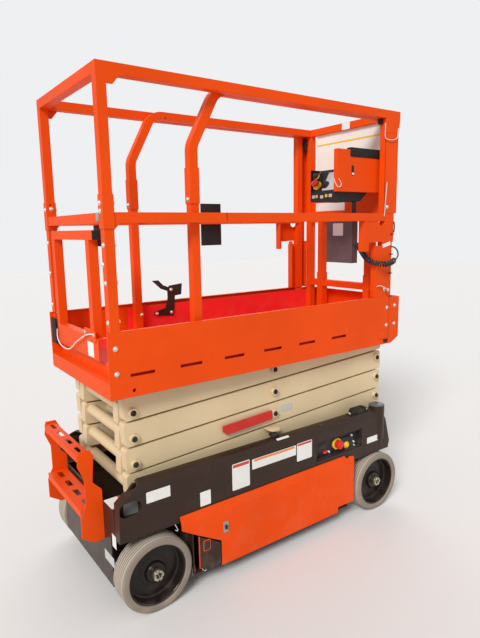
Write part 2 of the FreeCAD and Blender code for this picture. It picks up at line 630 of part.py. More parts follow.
def inner_arms(level):
    """Pair of inner arms, front end low and rear end high, tied by their rear cross tube."""
    pieces = both_sides(arm_beam(level, -1, ARM_IN_Y))
    z_front, z_rear, z_mid = pin_height(level), pin_height(level + 1), pin_height(level + 0.5)
    cap = ARM_OUT_Y + CAP_T
    out = cap if level < LEVELS - 1 else TRACK_IN_Y + LUG_T
    pieces += both_sides(rod((MID_X, ARM_IN_Y - ARM_T, z_mid), (MID_X, cap, z_mid), PIN_R))
    pieces.append(rod((REAR_PIN_X, -out, z_rear), (REAR_PIN_X, out, z_rear), PIN_R))
    pieces.append(rod((REAR_PIN_X, -ARM_IN_Y + 1.0, z_rear), (REAR_PIN_X, ARM_IN_Y - 1.0, z_rear), TUBE_R))
    if level == 0:
        pieces.append(rod((FRONT_PIN_X, -ROLLER_Y1, z_front), (FRONT_PIN_X, ROLLER_Y1, z_front), PIN_R))
        pieces += both_sides(rod((FRONT_PIN_X, ROLLER_Y0, z_front), (FRONT_PIN_X, ROLLER_Y1, z_front), ROLLER_R))
        x, z = arm_point(0, -1, CYL_BASE_A, 0.0)
        pieces.append(rod((x, -ARM_IN_Y + ARM_T, z), (x, -EYE_HALF_Y - 12.0, z), TUBE_R))
        pieces.append(rod((x, EYE_HALF_Y + 12.0, z), (x, ARM_IN_Y - ARM_T, z), TUBE_R))
        pieces.append(rod((x, -EYE_HALF_Y - 12.0, z), (x, EYE_HALF_Y + 12.0, z), CYL_PIN_R))
    if level == 1:
        x, z = arm_point(1, -1, -CYL_TOP_B, 0.0)
        pieces.append(rod((x, -ARM_IN_Y + ARM_T, z), (x, -EYE_HALF_Y - 12.0, z), TUBE_R))
        pieces.append(rod((x, EYE_HALF_Y + 12.0, z), (x, ARM_IN_Y - ARM_T, z), TUBE_R))
        pieces.append(rod((x, -EYE_HALF_Y - 12.0, z), (x, EYE_HALF_Y + 12.0, z), CYL_PIN_R))
    body = joined(pieces)
    if level > 0:
        for cut in both_sides(rod((FRONT_PIN_X, ARM_IN_Y - ARM_T - 1.0, z_front),
                                  (FRONT_PIN_X, ARM_IN_Y + 1.0, z_front), PIN_R + RUN_FIT)):
            body = body.cut(cut)
    return body


def cylinder_frame():
    """Base pin, rod pin and unit direction of the lift cylinder at rest."""
    bx, bz = arm_point(0, -1, CYL_BASE_A, 0.0)
    tx, tz = arm_point(1, -1, -CYL_TOP_B, 0.0)
    d = math.hypot(tx - bx, tz - bz)
    return (bx, bz), (tx, tz), ((tx - bx) / d, (tz - bz) / d), d


def lift_barrel():
    (bx, bz), _, (ux, uz), d = cylinder_frame()
    def at(s):
        return bx + ux * s, 0.0, bz + uz * s
    barrel_end = d - EYE_R - 34.0
    body = rod(at(BARREL_BACK), at(barrel_end), BARREL_R)
    eye = rod((bx, -EYE_HALF_Y, bz), (bx, EYE_HALF_Y, bz), EYE_R)
    neck = rod(at(0.0), at(BARREL_BACK), EYE_HALF_Y - 4.0)
    gland = rod(at(barrel_end - 26.0), at(barrel_end), BARREL_R + 4.0)
    body = joined([body, eye, neck, gland])
    body = body.cut(rod(at(BARREL_BACK + 40.0), at(barrel_end + 1.0), ROD_R + RUN_FIT))
    return body.cut(rod((bx, -EYE_HALF_Y - 1.0, bz), (bx, EYE_HALF_Y + 1.0, bz), CYL_PIN_R + RUN_FIT))


def lift_rod():
    (bx, bz), (tx, tz), (ux, uz), d = cylinder_frame()
    def at(s):
        return bx + ux * s, 0.0, bz + uz * s
    body = rod(at(BARREL_BACK + 44.0), at(d - EYE_R + 4.0), ROD_R)
    eye = rod((tx, -EYE_HALF_Y, tz), (tx, EYE_HALF_Y, tz), EYE_R)
    return joined([body, eye]).cut(rod((tx, -EYE_HALF_Y - 1.0, tz), (tx, EYE_HALF_Y + 1.0, tz), CYL_PIN_R + 0.5))


# Platform

def roller_channel():
    """Side channel under the deck with the upper roller track and the rear pivot lug, y positive."""
    under = DECK_Z - DECK_T
    z_pin = pin_height(LEVELS)
    reach = ROLLER_R + TRACK_GAP
    web, lug_out = TRACK_WEB_Y, TRACK_IN_Y + LUG_T
    front = PLAT_FRONT_X + TRACK_PAST_X
    wall = block(REAR_PIN_X - LUG_HALF_L, front, web, web + SHEET, z_pin - reach - TRACK_LIP, under)
    top = block(TRACK_REAR_X, front, TRACK_IN_Y, web, z_pin + reach, z_pin + reach + TRACK_LIP)
    bottom = block(TRACK_REAR_X, front, TRACK_IN_Y, web, z_pin - reach - TRACK_LIP, z_pin - reach)
    x = REAR_PIN_X
    lug = side_plate([(x - 40.0, z_pin - 24.0), (x + 40.0, z_pin - 24.0), (x + LUG_HALF_L, under),
                      (x - LUG_HALF_L, under)], TRACK_IN_Y, lug_out)
    gusset = block(x - 44.0, x - 38.0, TRACK_IN_Y + SHEET, web + SHEET, z_pin + 10.0, under)
    lug = joined([lug, gusset]).cut(rod((x, TRACK_IN_Y - 1.0, z_pin), (x, lug_out + 1.0, z_pin), PIN_R + RUN_FIT))
    return joined([wall, top, bottom, lug])


def cross_members():
    """Bars across the under-frame, between the two side channels."""
    under = DECK_Z - DECK_T
    first = REAR_PIN_X + LUG_HALF_L + MEMBER_CLEAR
    pitch = (PLAT_FRONT_X - MEMBER_W - first) / (MEMBERS - 1)
    return [block(first + k * pitch, first + k * pitch + MEMBER_W, -TRACK_WEB_Y, TRACK_WEB_Y, under - MEMBER_H, under)
            for k in range(MEMBERS)]


def platform_deck():
    return block(PLAT_REAR_X + SILL_DEEP, PLAT_FRONT_X, -PLAT_HALF_Y + SHEET, PLAT_HALF_Y - SHEET,
                 DECK_Z - DECK_T, DECK_Z)


def platform_skirt():
    """Side skirt with its folded lips and drain slots, y positive."""
    y0, y1 = PLAT_HALF_Y - SHEET, PLAT_HALF_Y
    plate = block(PLAT_REAR_X, PLAT_FRONT_X, y0, y1, SKIRT_Z0, SKIRT_Z1)
    lip_x0 = PLAT_REAR_X + SHEET
    lip = block(lip_x0, PLAT_FRONT_X, y1 - SKIRT_LIP, y1, SKIRT_Z1 - LIP_T, SKIRT_Z1)
    low_lip = block(lip_x0, PLAT_FRONT_X, y1 - SKIRT_LIP, y1, SKIRT_Z0, SKIRT_Z0 + LIP_T)
    side = joined([plate, lip, low_lip])
    for x0 in SLOT_STARTS:
        side = side.cut(block(x0, x0 + SLOT_L, y0 - 1.0, y1 + 1.0, SLOT_Z - SLOT_H / 2, SLOT_Z + SLOT_H / 2))
    hole_x = PLAT_REAR_X + 99.0
    return side.cut(rod((hole_x, y0 - 1.0, SKIRT_Z0 + 25.0), (hole_x, y1 + 1.0, SKIRT_Z0 + 25.0), 8.0))


def rear_sill():
    """Stepped sill under the gate, between the skirts."""
    y = PLAT_HALF_Y - SHEET
    x0, x1 = PLAT_REAR_X, PLAT_REAR_X + SILL_DEEP
    lower = block(x0, x0 + SHEET, -y, y, SKIRT_Z0, SILL_Z)
    ledge = block(x0, x1, -y, y, SILL_Z - SHEET, SILL_Z)
    riser = block(x1 - SHEET, x1, -y, y, SILL_Z, DECK_Z)
    return joined([lower, ledge, riser])


def side_rail():
    """Folding side rail with its posts, sleeve and the wide front corner plates, y positive."""
    y1 = PLAT_HALF_Y
    rail_in, post_in, plate_in = y1 - RAIL_SIZE, y1 - TUBE, y1 - SHEET
    set_out, set_in = y1 - PLATE_SET_IN, y1 - PLATE_SET_IN - SHEET
    top, under = TOP_RAIL_Z1, TOP_RAIL_Z1 - RAIL_SIZE
    mid_top, mid_low = MID_RAIL_Z1, MID_RAIL_Z1 - RAIL_SIZE
    rear_x0, rear_x1 = POST_REAR_X, POST_REAR_X + TUBE
    col, col_end = CORNER_X, CORNER_FRONT_X
    wide0, wide1, wide_z = WIDE_PLATE_X0, WIDE_PLATE_X1, WIDE_PLATE_Z0
    low0, low1 = LOW_COLUMN_X0, LOW_COLUMN_X1
    pieces = [
        block(rear_x0, rear_x1, post_in, y1, SKIRT_Z1, under),
        block(rear_x0 - SLEEVE_GROW, rear_x1 + SLEEVE_GROW, post_in - SLEEVE_GROW, y1 + SLEEVE_GROW,
              SLEEVE_Z0, SLEEVE_Z1),
        block(rear_x0, col_end, rail_in, y1, under, top),
        block(rear_x1, col + SHEET, rail_in, y1, mid_low, mid_top),
        block(col, col + TUBE, post_in, plate_in, SKIRT_Z1, under),
        block(col, col_end, plate_in, y1, mid_top, under),
        block(col_end - SHEET, col_end, post_in, y1, mid_top, under),
        side_plate([(col, top), (col_end + BRACKET_PAST, top), (col_end + BRACKET_PAST, under),
                    (col_end, top - BRACKET_H), (col, top - BRACKET_H)], plate_in, y1 + 1.0),
        side_plate([(wide0, mid_low), (col, mid_low), (col, mid_top), (wide1, mid_top), (wide1, wide_z),
                    (wide0 + TUBE, wide_z), (wide0 + TUBE, wide_z - WIDE_STRIP_H), (wide0, wide_z - WIDE_STRIP_H)],
                   set_in, set_out),
        block(wide0, wide0 + SHEET, rail_in, set_out, wide_z - WIDE_STRIP_H, mid_low),
        block(low0, low1, set_in, set_out, SKIRT_Z1, wide_z),
        block(low0, low0 + SHEET, post_in, set_out, SKIRT_Z1, wide_z),
        block(low1 - SHEET, low1, post_in, set_out, SKIRT_Z1, wide_z),
        side_plate([(rear_x0, top - 74.0), (rear_x1 + 24.0, top - 74.0), (rear_x1 + 52.0, under), (rear_x0, under)],
                   y1 - LIP_T, y1),
        side_plate([(rear_x1, mid_low - 24.0), (rear_x1 + 25.0, mid_low), (rear_x1, mid_low)], plate_in, y1),
    ]
    rail = joined(pieces)
    hole = rod((RELIEF_X, post_in - 1.0, mid_low), (RELIEF_X, y1 + 1.0, mid_low), RELIEF_R)
    hole = hole.common(block(RELIEF_X - RELIEF_R, RELIEF_X + RELIEF_R, post_in - 1.0, y1 + 1.0,
                             mid_low - RELIEF_R, mid_low))
    notch = block(NOTCH_X0, NOTCH_X1, set_in - 1.0, y1 + 1.0, wide_z - NOTCH_H, wide_z + PLATE_SET_IN)
    return rail.cut(hole).cut(notch)


def rear_rails():
    """Fixed cross bars over the gate, between the rear posts."""
    x0 = POST_REAR_X
    y_rail, y_post = PLAT_HALF_Y - RAIL_SIZE, PLAT_HALF_Y - TUBE - SLEEVE_GROW
    top = block(x0, x0 + RAIL_SIZE, -y_rail, y_rail, TOP_RAIL_Z1 - RAIL_SIZE, TOP_RAIL_Z1)
    middle = block(x0, x0 + TUBE, -y_post, y_post, MID_RAIL_Z1 - RAIL_SIZE, MID_RAIL_Z1)
    return [top, middle]


def gate_hinge_brackets():
    """Two brackets on the far rear post, each with the upright pin that the gate turns on."""
    pieces = []
    for z in GATE_HINGE_Z:
        arm = block(GATE_X - 10.0, GATE_X + 10.0, GATE_PIN_Y - 8.0, PLAT_HALF_Y - TUBE, z - 5.0, z)
        pin = rod((GATE_X, GATE_PIN_Y, z - 5.0), (GATE_X, GATE_PIN_Y, z + HINGE_H), GATE_PIN_R)
        pieces.append(joined([arm, pin]))
    return pieces


def rail_foot(x):
    """Lower end of a post, bolted inside the skirt, y positive."""
    y1 = PLAT_HALF_Y - SHEET
    return block(x, x + TUBE, y1 - FOOT_DEEP, y1, DECK_Z, SKIRT_Z1 - LIP_T)


def gate():
    """Half-height entry gate with its toe panel, hung on the far post."""
    x0, x1 = GATE_X - TUBE / 2, GATE_X + TUBE / 2
    far, near = GATE_HINGE_Y, GATE_LATCH_Y
    near_bar = near + GATE_INSET
    pieces = [block(x0, x1, near, far, GATE_TOP_Z - TUBE, GATE_TOP_Z),
              block(x0, x1, near_bar, near_bar + TUBE, GATE_PANEL_Z1, GATE_TOP_Z - TUBE),
              block(x0, x1, far - TUBE, far, GATE_PANEL_Z1, GATE_TOP_Z - TUBE),
              block(x0, x0 + LIP_T, near, far, GATE_PANEL_Z0, GATE_PANEL_Z1),
              block(x0, x1, near, far, GATE_PANEL_Z1, GATE_PANEL_Z1 + LIP_T)]
    for z in GATE_HINGE_Z:
        pieces.append(rod((GATE_X, GATE_PIN_Y, z + 0.3), (GATE_X, GATE_PIN_Y, z + HINGE_H), GATE_PIN_R + 5.0))
        pieces.append(block(GATE_X - 4.0, GATE_X + 4.0, far - 2.0, GATE_PIN_Y, z + 0.3, z + HINGE_H))
    body = joined(pieces)
    for z in GATE_HINGE_Z:
        body = body.cut(rod((GATE_X, GATE_PIN_Y, z - 1.0), (GATE_X, GATE_PIN_Y, z + HINGE_H + 1.0),
                            GATE_PIN_R + RUN_FIT))
    return body


# Sliding extension, inboard of the side rails


def extension_deck():
    """Sliding floor sheet on its slide strips, with the cross ties that carry the front plates."""
    floor = block(EXT_REAR_X, EXT_FRONT_X - SHEET, -EXT_HALF_Y, EXT_HALF_Y, EXT_FLOOR_Z0, EXT_FLOOR_Z1)
    strip = block(EXT_REAR_X, PLAT_FRONT_X, EXT_HALF_Y - 30.0, EXT_HALF_Y - 10.0, DECK_Z + 0.3, EXT_FLOOR_Z0)
    return joined([floor] + both_sides(strip))


def extension_side():
    """Low side board of the sliding floor, y positive."""
    return block(EXT_REAR_X, EXT_FRONT_X - SHEET, EXT_HALF_Y, EXT_HALF_Y + SIDE_BOARD_T, EXT_FLOOR_Z0, SIDE_BOARD_Z1)


def extension_toe_plates():
    """Toe board across the front and the bent side plates that close on the skirts' ends."""
    y0, y1 = PLAT_HALF_Y - SHEET, PLAT_HALF_Y
    side = side_plate([(EXT_SIDE_X0, SKIRT_Z0), (EXT_CHAMFER_X, SKIRT_Z0), (EXT_FRONT_X, EXT_CHAMFER_Z),
                       (EXT_FRONT_X, EXT_SKIRT_Z1), (EXT_SIDE_X0, EXT_SKIRT_Z1)], y0, y1)
    toe = block(EXT_FRONT_X - SHEET, EXT_FRONT_X, -y0, y0, EXT_CHAMFER_Z, EXT_SKIRT_Z1)
    tie = block(EXT_SIDE_X0 + 20.0, EXT_FRONT_X - SHEET, -y0, y0, EXT_FLOOR_Z0 - 30.0, EXT_FLOOR_Z0)
    return joined([toe, tie] + both_sides(side))


def route(points, cut_back):
    """Wire of straight runs joined by tangent arcs, each starting its cut_back before the corner."""
    edges, start = [], points[0]
    for before, corner, after, back in zip(points, points[1:], points[2:], cut_back):
        arrive, leave = corner - before, after - corner
        radius = back / math.tan(arrive.getAngle(leave) / 2)
        first = corner - arrive.normalize() * back
        last = corner + leave.normalize() * back
        inward = ((first + last) * 0.5 - corner).normalize()
        middle = corner + inward * (math.hypot(radius, back) - radius)
        edges += [Part.LineSegment(start, first).toShape(), Part.Arc(first, middle, last).toShape()]
        start = last
    return Part.Wire(edges + [Part.LineSegment(start, points[-1]).toShape()])


def arch_rail():
    """Bent rail of the extension, y positive: up, leaning forward, then level to the front frame."""
    half = TUBE / 2
    y = ARCH_OUT_Y - half
    z_top = TOP_RAIL_Z1 - half - 1.0
    x0, x1, z0 = ARCH_X, ARCH_X + ARCH_LEAN, EXT_FLOOR_Z1
    path = route([Vector(x0, y, z0), Vector(x0, y, ARCH_BEND_Z), Vector(x1, y, z_top), Vector(FRAME_X0, y, z_top)],
                 ARCH_CUT_BACK)
    corners = [(-half, -half), (half, -half), (half, half), (-half, half), (-half, -half)]
    ring = Part.Wire(Part.makePolygon([Vector(x0 + dx, y + dy, z0) for dx, dy in corners]))
    grown = half + SLEEVE_GROW
    sleeve = block(x0 - grown, x0 + grown, y - grown, y + grown, ARCH_SLEEVE_Z0, ARCH_SLEEVE_Z1)
    return joined([path.makePipeShell([ring], True, False, 1), sleeve])


def front_frame():
    """Upright frame at the front of the extension: corner posts, cross bars and inner uprights."""
    x0, x1 = FRAME_X0, FRAME_X1
    y1 = ARCH_OUT_Y
    y0 = y1 - TUBE
    z0, z1 = EXT_FLOOR_Z1, TOP_RAIL_Z1
    pieces = both_sides(block(x0, x1, y0, y1, z0, z1))
    for low, high in ((LOW_BAR_Z0, LOW_BAR_Z0 + TUBE), (MID_RAIL_Z1 - TUBE, MID_RAIL_Z1), (z1 - TUBE, z1)):
        pieces.append(block(x0, x1, -y0, y0, low, high))
    pieces += both_sides(block(x0, x1, INNER_BAR_Y, INNER_BAR_Y + TUBE, z0, MID_RAIL_Z1 - TUBE))
    sleeve = INNER_BAR_Y - SLEEVE_GROW, INNER_BAR_Y + TUBE + SLEEVE_GROW
    pieces += both_sides(block(x0 - SLEEVE_GROW, x1 + SLEEVE_GROW, sleeve[0], sleeve[1], z0, INNER_SLEEVE_Z1))
    pieces.append(block(BOARD_X, BOARD_X + BOARD_T, -y0, y0, MID_RAIL_Z1, BOARD_Z0))
    return joined(pieces)


def ladder():
    """Two waisted side plates with two slotted steps between them, behind the chassis."""
    xr, xf = LADDER_REAR_X, CHASSIS_REAR_X
    z0, z1 = LADDER_Z0, LADDER_Z1
    waist_low, waist_mid, waist_top = LADDER_WAIST_Z
    mount_low, mount_mid, mount_top = LADDER_MOUNT_Z
    outline = [(xr, z0 + 35.0), (xr + 54.0, z0), (xf, z0 + 5.0), (xf, mount_low), (xf - 37.0, mount_mid),
               (xf - 27.0, mount_top), (xf - 41.0, z1), (xr + 8.0, z1), (xr, z1 - 60.0), (xr + 24.0, waist_top),
               (xr + 24.0, waist_mid), (xr, waist_low)]
    y0, y1 = LADDER_HALF_Y - 3.0, LADDER_HALF_Y + 3.0
    pieces = both_sides(side_plate(outline, y0, y1))
    for z, x1 in ((z1 - 12.0, xf - 42.0), (LADDER_STEP_Z, xf - 4.0)):
        step = block(xr + 2.0, x1, -y0, y0, z - 3.0, z)
        nose = block(xr + 2.0, xr + 6.0, -y0, y0, z - 30.0, z)
        for k in range(4):
            yc = -y0 + (2 * y0) * (k + 0.5) / 4
            step = step.cut(block(xr + 20.0, x1 - 12.0, yc - 36.0, yc + 36.0, z - 4.0, z + 1.0))
        pieces += [step, nose]
    return joined(pieces)


def maintenance_prop():
    """Red safety prop, stowed along the outer face of the second outer arm, near side."""
    t, y = PROP_T, ARM_OUT_Y
    z_mid = pin_height(1.5)
    bar_shape = block(-PROP_L, 16.0, -y - CAP_T - t, -y - CAP_T, -PROP_H / 2, PROP_H / 2)
    notch = rod((-PROP_L, -y - CAP_T - t - 1.0, -PROP_H / 2), (-PROP_L, -y - CAP_T + 1.0, -PROP_H / 2), 16.0)
    bar_shape = bar_shape.cut(notch)
    bar_shape.rotate(Vector(0, 0, 0), Vector(0, -1, 0), 3.0)
    bar_shape.translate(Vector(MID_X - 42.0, 0, z_mid))
    x = MID_X - PROP_L + 20.0
    rest = block(x, x + 24.0, -y - CAP_T, -y, z_mid - 26.0, z_mid - 10.0)
    hinge = block(MID_X - 66.0, MID_X - 42.0, -y - CAP_T, -y, z_mid - 14.0, z_mid + 6.0)
    return joined([bar_shape, rest, hinge])


def pothole_guards():
    """Guard bars that hang under the side trays."""
    bar_shape = block(*GUARD_X, *GUARD_Y, *GUARD_Z)
    past = GUARD_LINK_PAST
    links = [block(x, x + GUARD_LINK_W, GUARD_Y[0] - past, GUARD_Y[1] + past, GUARD_Z[0] + past, TRAY_Z0)
             for x in GUARD_LINK_X]
    return joined([bar_shape] + links)


def ground_panel():
    """Lower control panel behind the recess in the near side sheet."""
    y = -CHASSIS_HALF_Y + SHEET
    tray = block(PANEL_X0 - 8.0, PANEL_X1 + 8.0, y, y + 26.0, PANEL_Z0 - 8.0, PANEL_Z1 + 8.0)
    room = block(PANEL_X0 + 8.0, PANEL_X1 - 8.0, y - 1.0, y + 20.0, PANEL_Z0 + 8.0, PANEL_Z1 - 8.0)
    x, z = BUTTON_AT
    button = rod((x, y + 20.0, z), (x, y - 4.0, z), BUTTON_R)
    return joined([tray.cut(room), button])


def front_board():
    """White board that hangs from the top bar of the front frame."""
    return block(BOARD_X, BOARD_X + BOARD_T, *WHITE_BOARD_Y, BOARD_Z0, TOP_RAIL_Z1 - TUBE)


def control_station():
    """Upper control box: front lip, leaning control face and an upright cheek at its far side."""
    x0, x1, z0, z1 = STATION_X0, STATION_X1, STATION_Z0, STATION_Z1
    back_x, back_z = STATION_BACK
    inner = STATION_Y1 - CHEEK_T
    body = side_plate([(x0, z0), (x1 - back_x, z0), (x1, z0 + back_z), (x1, z1), (x0 + STATION_LEAN, z1),
                       (x0, z0 + STATION_LIP)], STATION_Y0, inner)
    cheek = block(x0, x0 + STATION_LEAN + 10.0, inner, STATION_Y1, z0, z1)
    return joined([body, cheek])


def station_shield():
    """Folded cover between the control box and the near rail, with its edges turned inwards."""
    x0, x1 = STATION_X0 - SHIELD_PAST, FRAME_X0
    z0, z1 = STATION_Z0 + SHIELD_RISE[0], STATION_Z1 + SHIELD_RISE[1]
    y0 = STATION_Y0 - SHIELD_DEEP
    tray = block(x0, x1, y0, STATION_Y0, z0, z1)
    room = block(x0 + SHIELD_T, x1 - SHIELD_T, y0 + SHIELD_T, STATION_Y0 + 1.0, z0 + SHIELD_T, z1 - SHIELD_T)
    spacer = block(x0 + SPACER_X[0], x0 + SPACER_X[1], y0 + SHIELD_T, STATION_Y0, z0 + SPACER_Z[0], z0 + SPACER_Z[1])
    return joined([tray.cut(room), spacer])


def manual_box():
    """Grey document box on the mid bar of the front frame."""
    return block(FRAME_X0 - MANUAL_DEEP, FRAME_X0, MANUAL_Y0, MANUAL_Y1, MANUAL_Z0, MID_RAIL_Z1 - 30.0)


def rail_plate():
    """Dark plate on the outer face of the far rail."""
    return block(*RAIL_PLATE_X, PLAT_HALF_Y, PLAT_HALF_Y + RAIL_PLATE_T, *RAIL_PLATE_Z)


def deck_lock_lever():
    """Cranked pedal plate that locks the sliding floor, on the inner face of the far side board."""
    y1 = EXT_HALF_Y
    y0 = y1 - SHEET
    pedal = side_plate(PEDAL_EDGE, y0, y1)
    hook = side_plate(HOOK_EDGE, y0, y1)
    bolts = [rod((x, y0 - PEDAL_BOLT_HEAD, z), (x, y0 + 1.0, z), PEDAL_BOLT_R) for x, z in PEDAL_BOLTS]
    return joined([pedal, hook] + bolts)


def cord_tube(points, radius):
    """Plain tube along a cord's route, with each bend as wide as its two runs allow."""
    runs = [(b - a).Length for a, b in zip(points, points[1:])]
    cut_back = [0.45 * min(pair) for pair in zip(runs, runs[1:])]
    turns = [(b - a).getAngle(c - b) for a, b, c in zip(points, points[1:], points[2:])]
    print("cord bends", [round(back / math.tan(turn / 2)) for back, turn in zip(cut_back, turns)])
    path = route(points, cut_back)
    ring = Part.Wire(Part.makeCircle(radius, points[0], points[1] - points[0]))
    tube = path.makePipeShell([ring], True, False)
    share = tube.Volume / (path.Length * math.pi * radius ** 2)
    print("cord length", round(path.Length), "filled share", round(share, 3))
    return tube


save("chassis_deck", chassis_deck())
save("chassis_wall_left", chassis_wall())
save("chassis_wall_right", mirrored(chassis_wall()).cut(panel_recess()))
save("side_trays", Part.makeCompound(both_sides(side_trays())))
for side, name in ((-1, "right"), (1, "left")):
    door = tray_door()
    save("tray_door_" + name, door if side > 0 else mirrored(door))
store_in, store_z0 = TUNNEL_HALF_Y + STORE_GAP, TRAY_Z0 + TRAY_T
save("battery_block", block(*BATTERY_X, store_in, STORE_OUT_Y, store_z0, BATTERY_TOP_Z))
save("pump_block", block(*PUMP_X, -STORE_OUT_Y, -store_in, store_z0, PUMP_TOP_Z))
save("ladder", ladder())
save("rear_axle", Part.makeCompound(both_sides(rear_axle())))
save("front_axle", front_axle())
for side, name in ((-1, "right"), (1, "left")):
    save("knuckle_" + name, knuckle() if side > 0 else mirrored(knuckle()))
    for x, end in ((REAR_AXLE_X, "rear"), (FRONT_AXLE_X, "front")):
        save(f"tyre_{end}_{name}", tyre(x, side))
        save(f"rim_{end}_{name}", rim(x, side))
for level in range(LEVELS):
    save(f"outer_arms_{level + 1}", outer_arms(level))
    save(f"inner_arms_{level + 1}", inner_arms(level))
save("lift_barrel", lift_barrel())
save("lift_rod", lift_rod())
save("roller_channels", Part.makeCompound(both_sides(roller_channel())))
save("cross_members", Part.makeCompound(cross_members()))
save("platform_deck", platform_deck())
save("platform_skirts", Part.makeCompound(both_sides(platform_skirt())))
save("rear_sill", rear_sill())
save("side_rail_left", side_rail())
save("side_rail_right", mirrored(side_rail()))
save("rear_rails", Part.makeCompound(rear_rails()))
save("gate_brackets", Part.makeCompound(gate_hinge_brackets()))
save("rail_feet", Part.makeCompound(both_sides(rail_foot(POST_REAR_X)) + both_sides(rail_foot(CORNER_X))))
save("gate", gate())
save("extension_deck", extension_deck())
save("extension_sides", Part.makeCompound(both_sides(extension_side())))
save("extension_toe_plates", extension_toe_plates())
save("arch_rails", Part.makeCompound(both_sides(arch_rail())))
save("front_frame", front_frame())
save("maintenance_prop", maintenance_prop())
save("pothole_guards", Part.makeCompound(both_sides(pothole_guards())))
save("ground_panel", ground_panel())
save("front_board", front_board())
save("control_station", control_station())
save("station_shield", station_shield())
save("manual_box", manual_box())
save("rail_plate", rail_plate())
save("deck_lock_lever", deck_lock_lever())
save("curly_cord", cord_tube([Vector(*p) for p in CURLY_ROUTE], CURLY_R))
save("cord_tail", cord_tube([Vector(*p) for p in TAIL_ROUTE], TAIL_R))
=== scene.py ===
import bpy
import bmesh
import math
from mathutils import Matrix, Vector


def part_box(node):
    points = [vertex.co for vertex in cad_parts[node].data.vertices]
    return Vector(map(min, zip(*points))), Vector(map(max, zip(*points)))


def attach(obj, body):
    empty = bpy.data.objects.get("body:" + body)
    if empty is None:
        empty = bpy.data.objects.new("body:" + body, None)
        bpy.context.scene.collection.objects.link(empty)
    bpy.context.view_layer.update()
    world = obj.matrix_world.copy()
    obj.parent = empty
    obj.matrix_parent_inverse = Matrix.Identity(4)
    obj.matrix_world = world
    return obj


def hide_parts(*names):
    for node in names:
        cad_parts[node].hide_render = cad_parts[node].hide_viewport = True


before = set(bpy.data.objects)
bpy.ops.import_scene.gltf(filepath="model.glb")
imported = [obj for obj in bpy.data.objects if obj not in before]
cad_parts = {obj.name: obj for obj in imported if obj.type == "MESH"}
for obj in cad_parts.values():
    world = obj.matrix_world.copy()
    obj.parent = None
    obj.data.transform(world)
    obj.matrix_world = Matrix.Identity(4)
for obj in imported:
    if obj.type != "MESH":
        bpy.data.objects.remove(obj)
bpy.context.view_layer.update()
scene = bpy.context.scene

# Camera and studio
# A hand-held view from the right and rear of the lift, at eye height. The floor is plain and pale,
# and two broad lamps with a soft sky light the paint evenly.

eye = Vector((-1.5371, -2.2319, 1.5687))
right = Vector((0.8101, -0.5861, -0.0173))
up = Vector((0.1116, 0.1251, 0.9858))
forward = Vector((0.5756, 0.8005, -0.1668))
turn = Matrix((right, up, -forward)).transposed().to_4x4()
camera = bpy.data.objects.new("photo_camera", bpy.data.cameras.new("photo_camera"))
camera.data.sensor_width = 36.0
camera.data.lens = 30.135
camera.matrix_world = Matrix.Translation(eye) @ turn
scene.collection.objects.link(camera)
scene.camera = camera

for name, strength, angle, tilt, heading in (
    ("key_lamp", 2.7, 20.0, 52.0, -56.0),
    ("fill_lamp", 0.8, 60.0, 60.0, 150.0),
):
    lamp = bpy.data.objects.new(name, bpy.data.lights.new(name, "SUN"))
    lamp.data.energy = strength
    lamp.data.angle = math.radians(angle)
    lamp.rotation_euler = (math.radians(tilt), 0, math.radians(heading))
    scene.collection.objects.link(lamp)

world = bpy.data.worlds.new("studio_sky")
scene.world = world
world.use_nodes = True
sky = world.node_tree.nodes
sky_links = world.node_tree.links
sky["Background"].inputs["Color"].default_value = (0.97, 0.98, 1.0, 1)
sky["Background"].inputs["Strength"].default_value = 0.5
backdrop = sky.new("ShaderNodeBackground")
backdrop.inputs["Color"].default_value = (0.86, 0.87, 0.88, 1)
backdrop.inputs["Strength"].default_value = 1.0
seen = sky.new("ShaderNodeLightPath")
either = sky.new("ShaderNodeMath")
either.operation = "MAXIMUM"
chosen = sky.new("ShaderNodeMixShader")
sky_links.new(seen.outputs["Is Camera Ray"], either.inputs[0])
sky_links.new(seen.outputs["Is Glossy Ray"], either.inputs[1])
sky_links.new(either.outputs[0], chosen.inputs["Fac"])
sky_links.new(sky["Background"].outputs[0], chosen.inputs[1])
sky_links.new(backdrop.outputs[0], chosen.inputs[2])
sky_links.new(chosen.outputs[0], sky["World Output"].inputs["Surface"])

bpy.ops.object.select_all(action="DESELECT")
bpy.ops.mesh.primitive_plane_add(size=40)
floor = bpy.context.object
floor.name = "studio_floor"
plaster = bpy.data.materials.new("studio_floor")
plaster.use_nodes = True
plaster.node_tree.nodes["Principled BSDF"].inputs["Base Color"].default_value = (0.74, 0.72, 0.70, 1)
plaster.node_tree.nodes["Principled BSDF"].inputs["Roughness"].default_value = 0.9
floor.data.materials.append(plaster)

# Curly control cord
# A spiral PVC cord carries the upper controls, wound on a mandrel and set by heat. It leaves the manual
# box, sags past the near column and turns round it, and its straight end rises along the column to a clip.

coil_route = ((0.7900, -0.1174, 1.4680), (0.7900, -0.1430, 1.4680), (0.7680, -0.1800, 1.4530),
              (0.7380, -0.2270, 1.4320), (0.7080, -0.2750, 1.4090), (0.6795, -0.3240, 1.3900),
              (0.6878, -0.3668, 1.3770), (0.7215, -0.3946, 1.3700), (0.7650, -0.3930, 1.3720),
              (0.8000, -0.3880, 1.3810), (0.8300, -0.3830, 1.3940))
tail_route = ((0.8520, -0.3780, 1.4030), (0.8660, -0.3710, 1.4190), (0.8640, -0.3660, 1.4370),
              (0.8520, -0.3650, 1.4490), (0.8380, -0.3645, 1.4565), (0.8260, -0.3615, 1.4590),
              (0.8210, -0.3560, 1.4590))
cord_thick = 0.0076
coil_turns = 29
coil_mean_r = 0.0122
turn_points = 12
fade_points = 8
coil_margin = 0.02


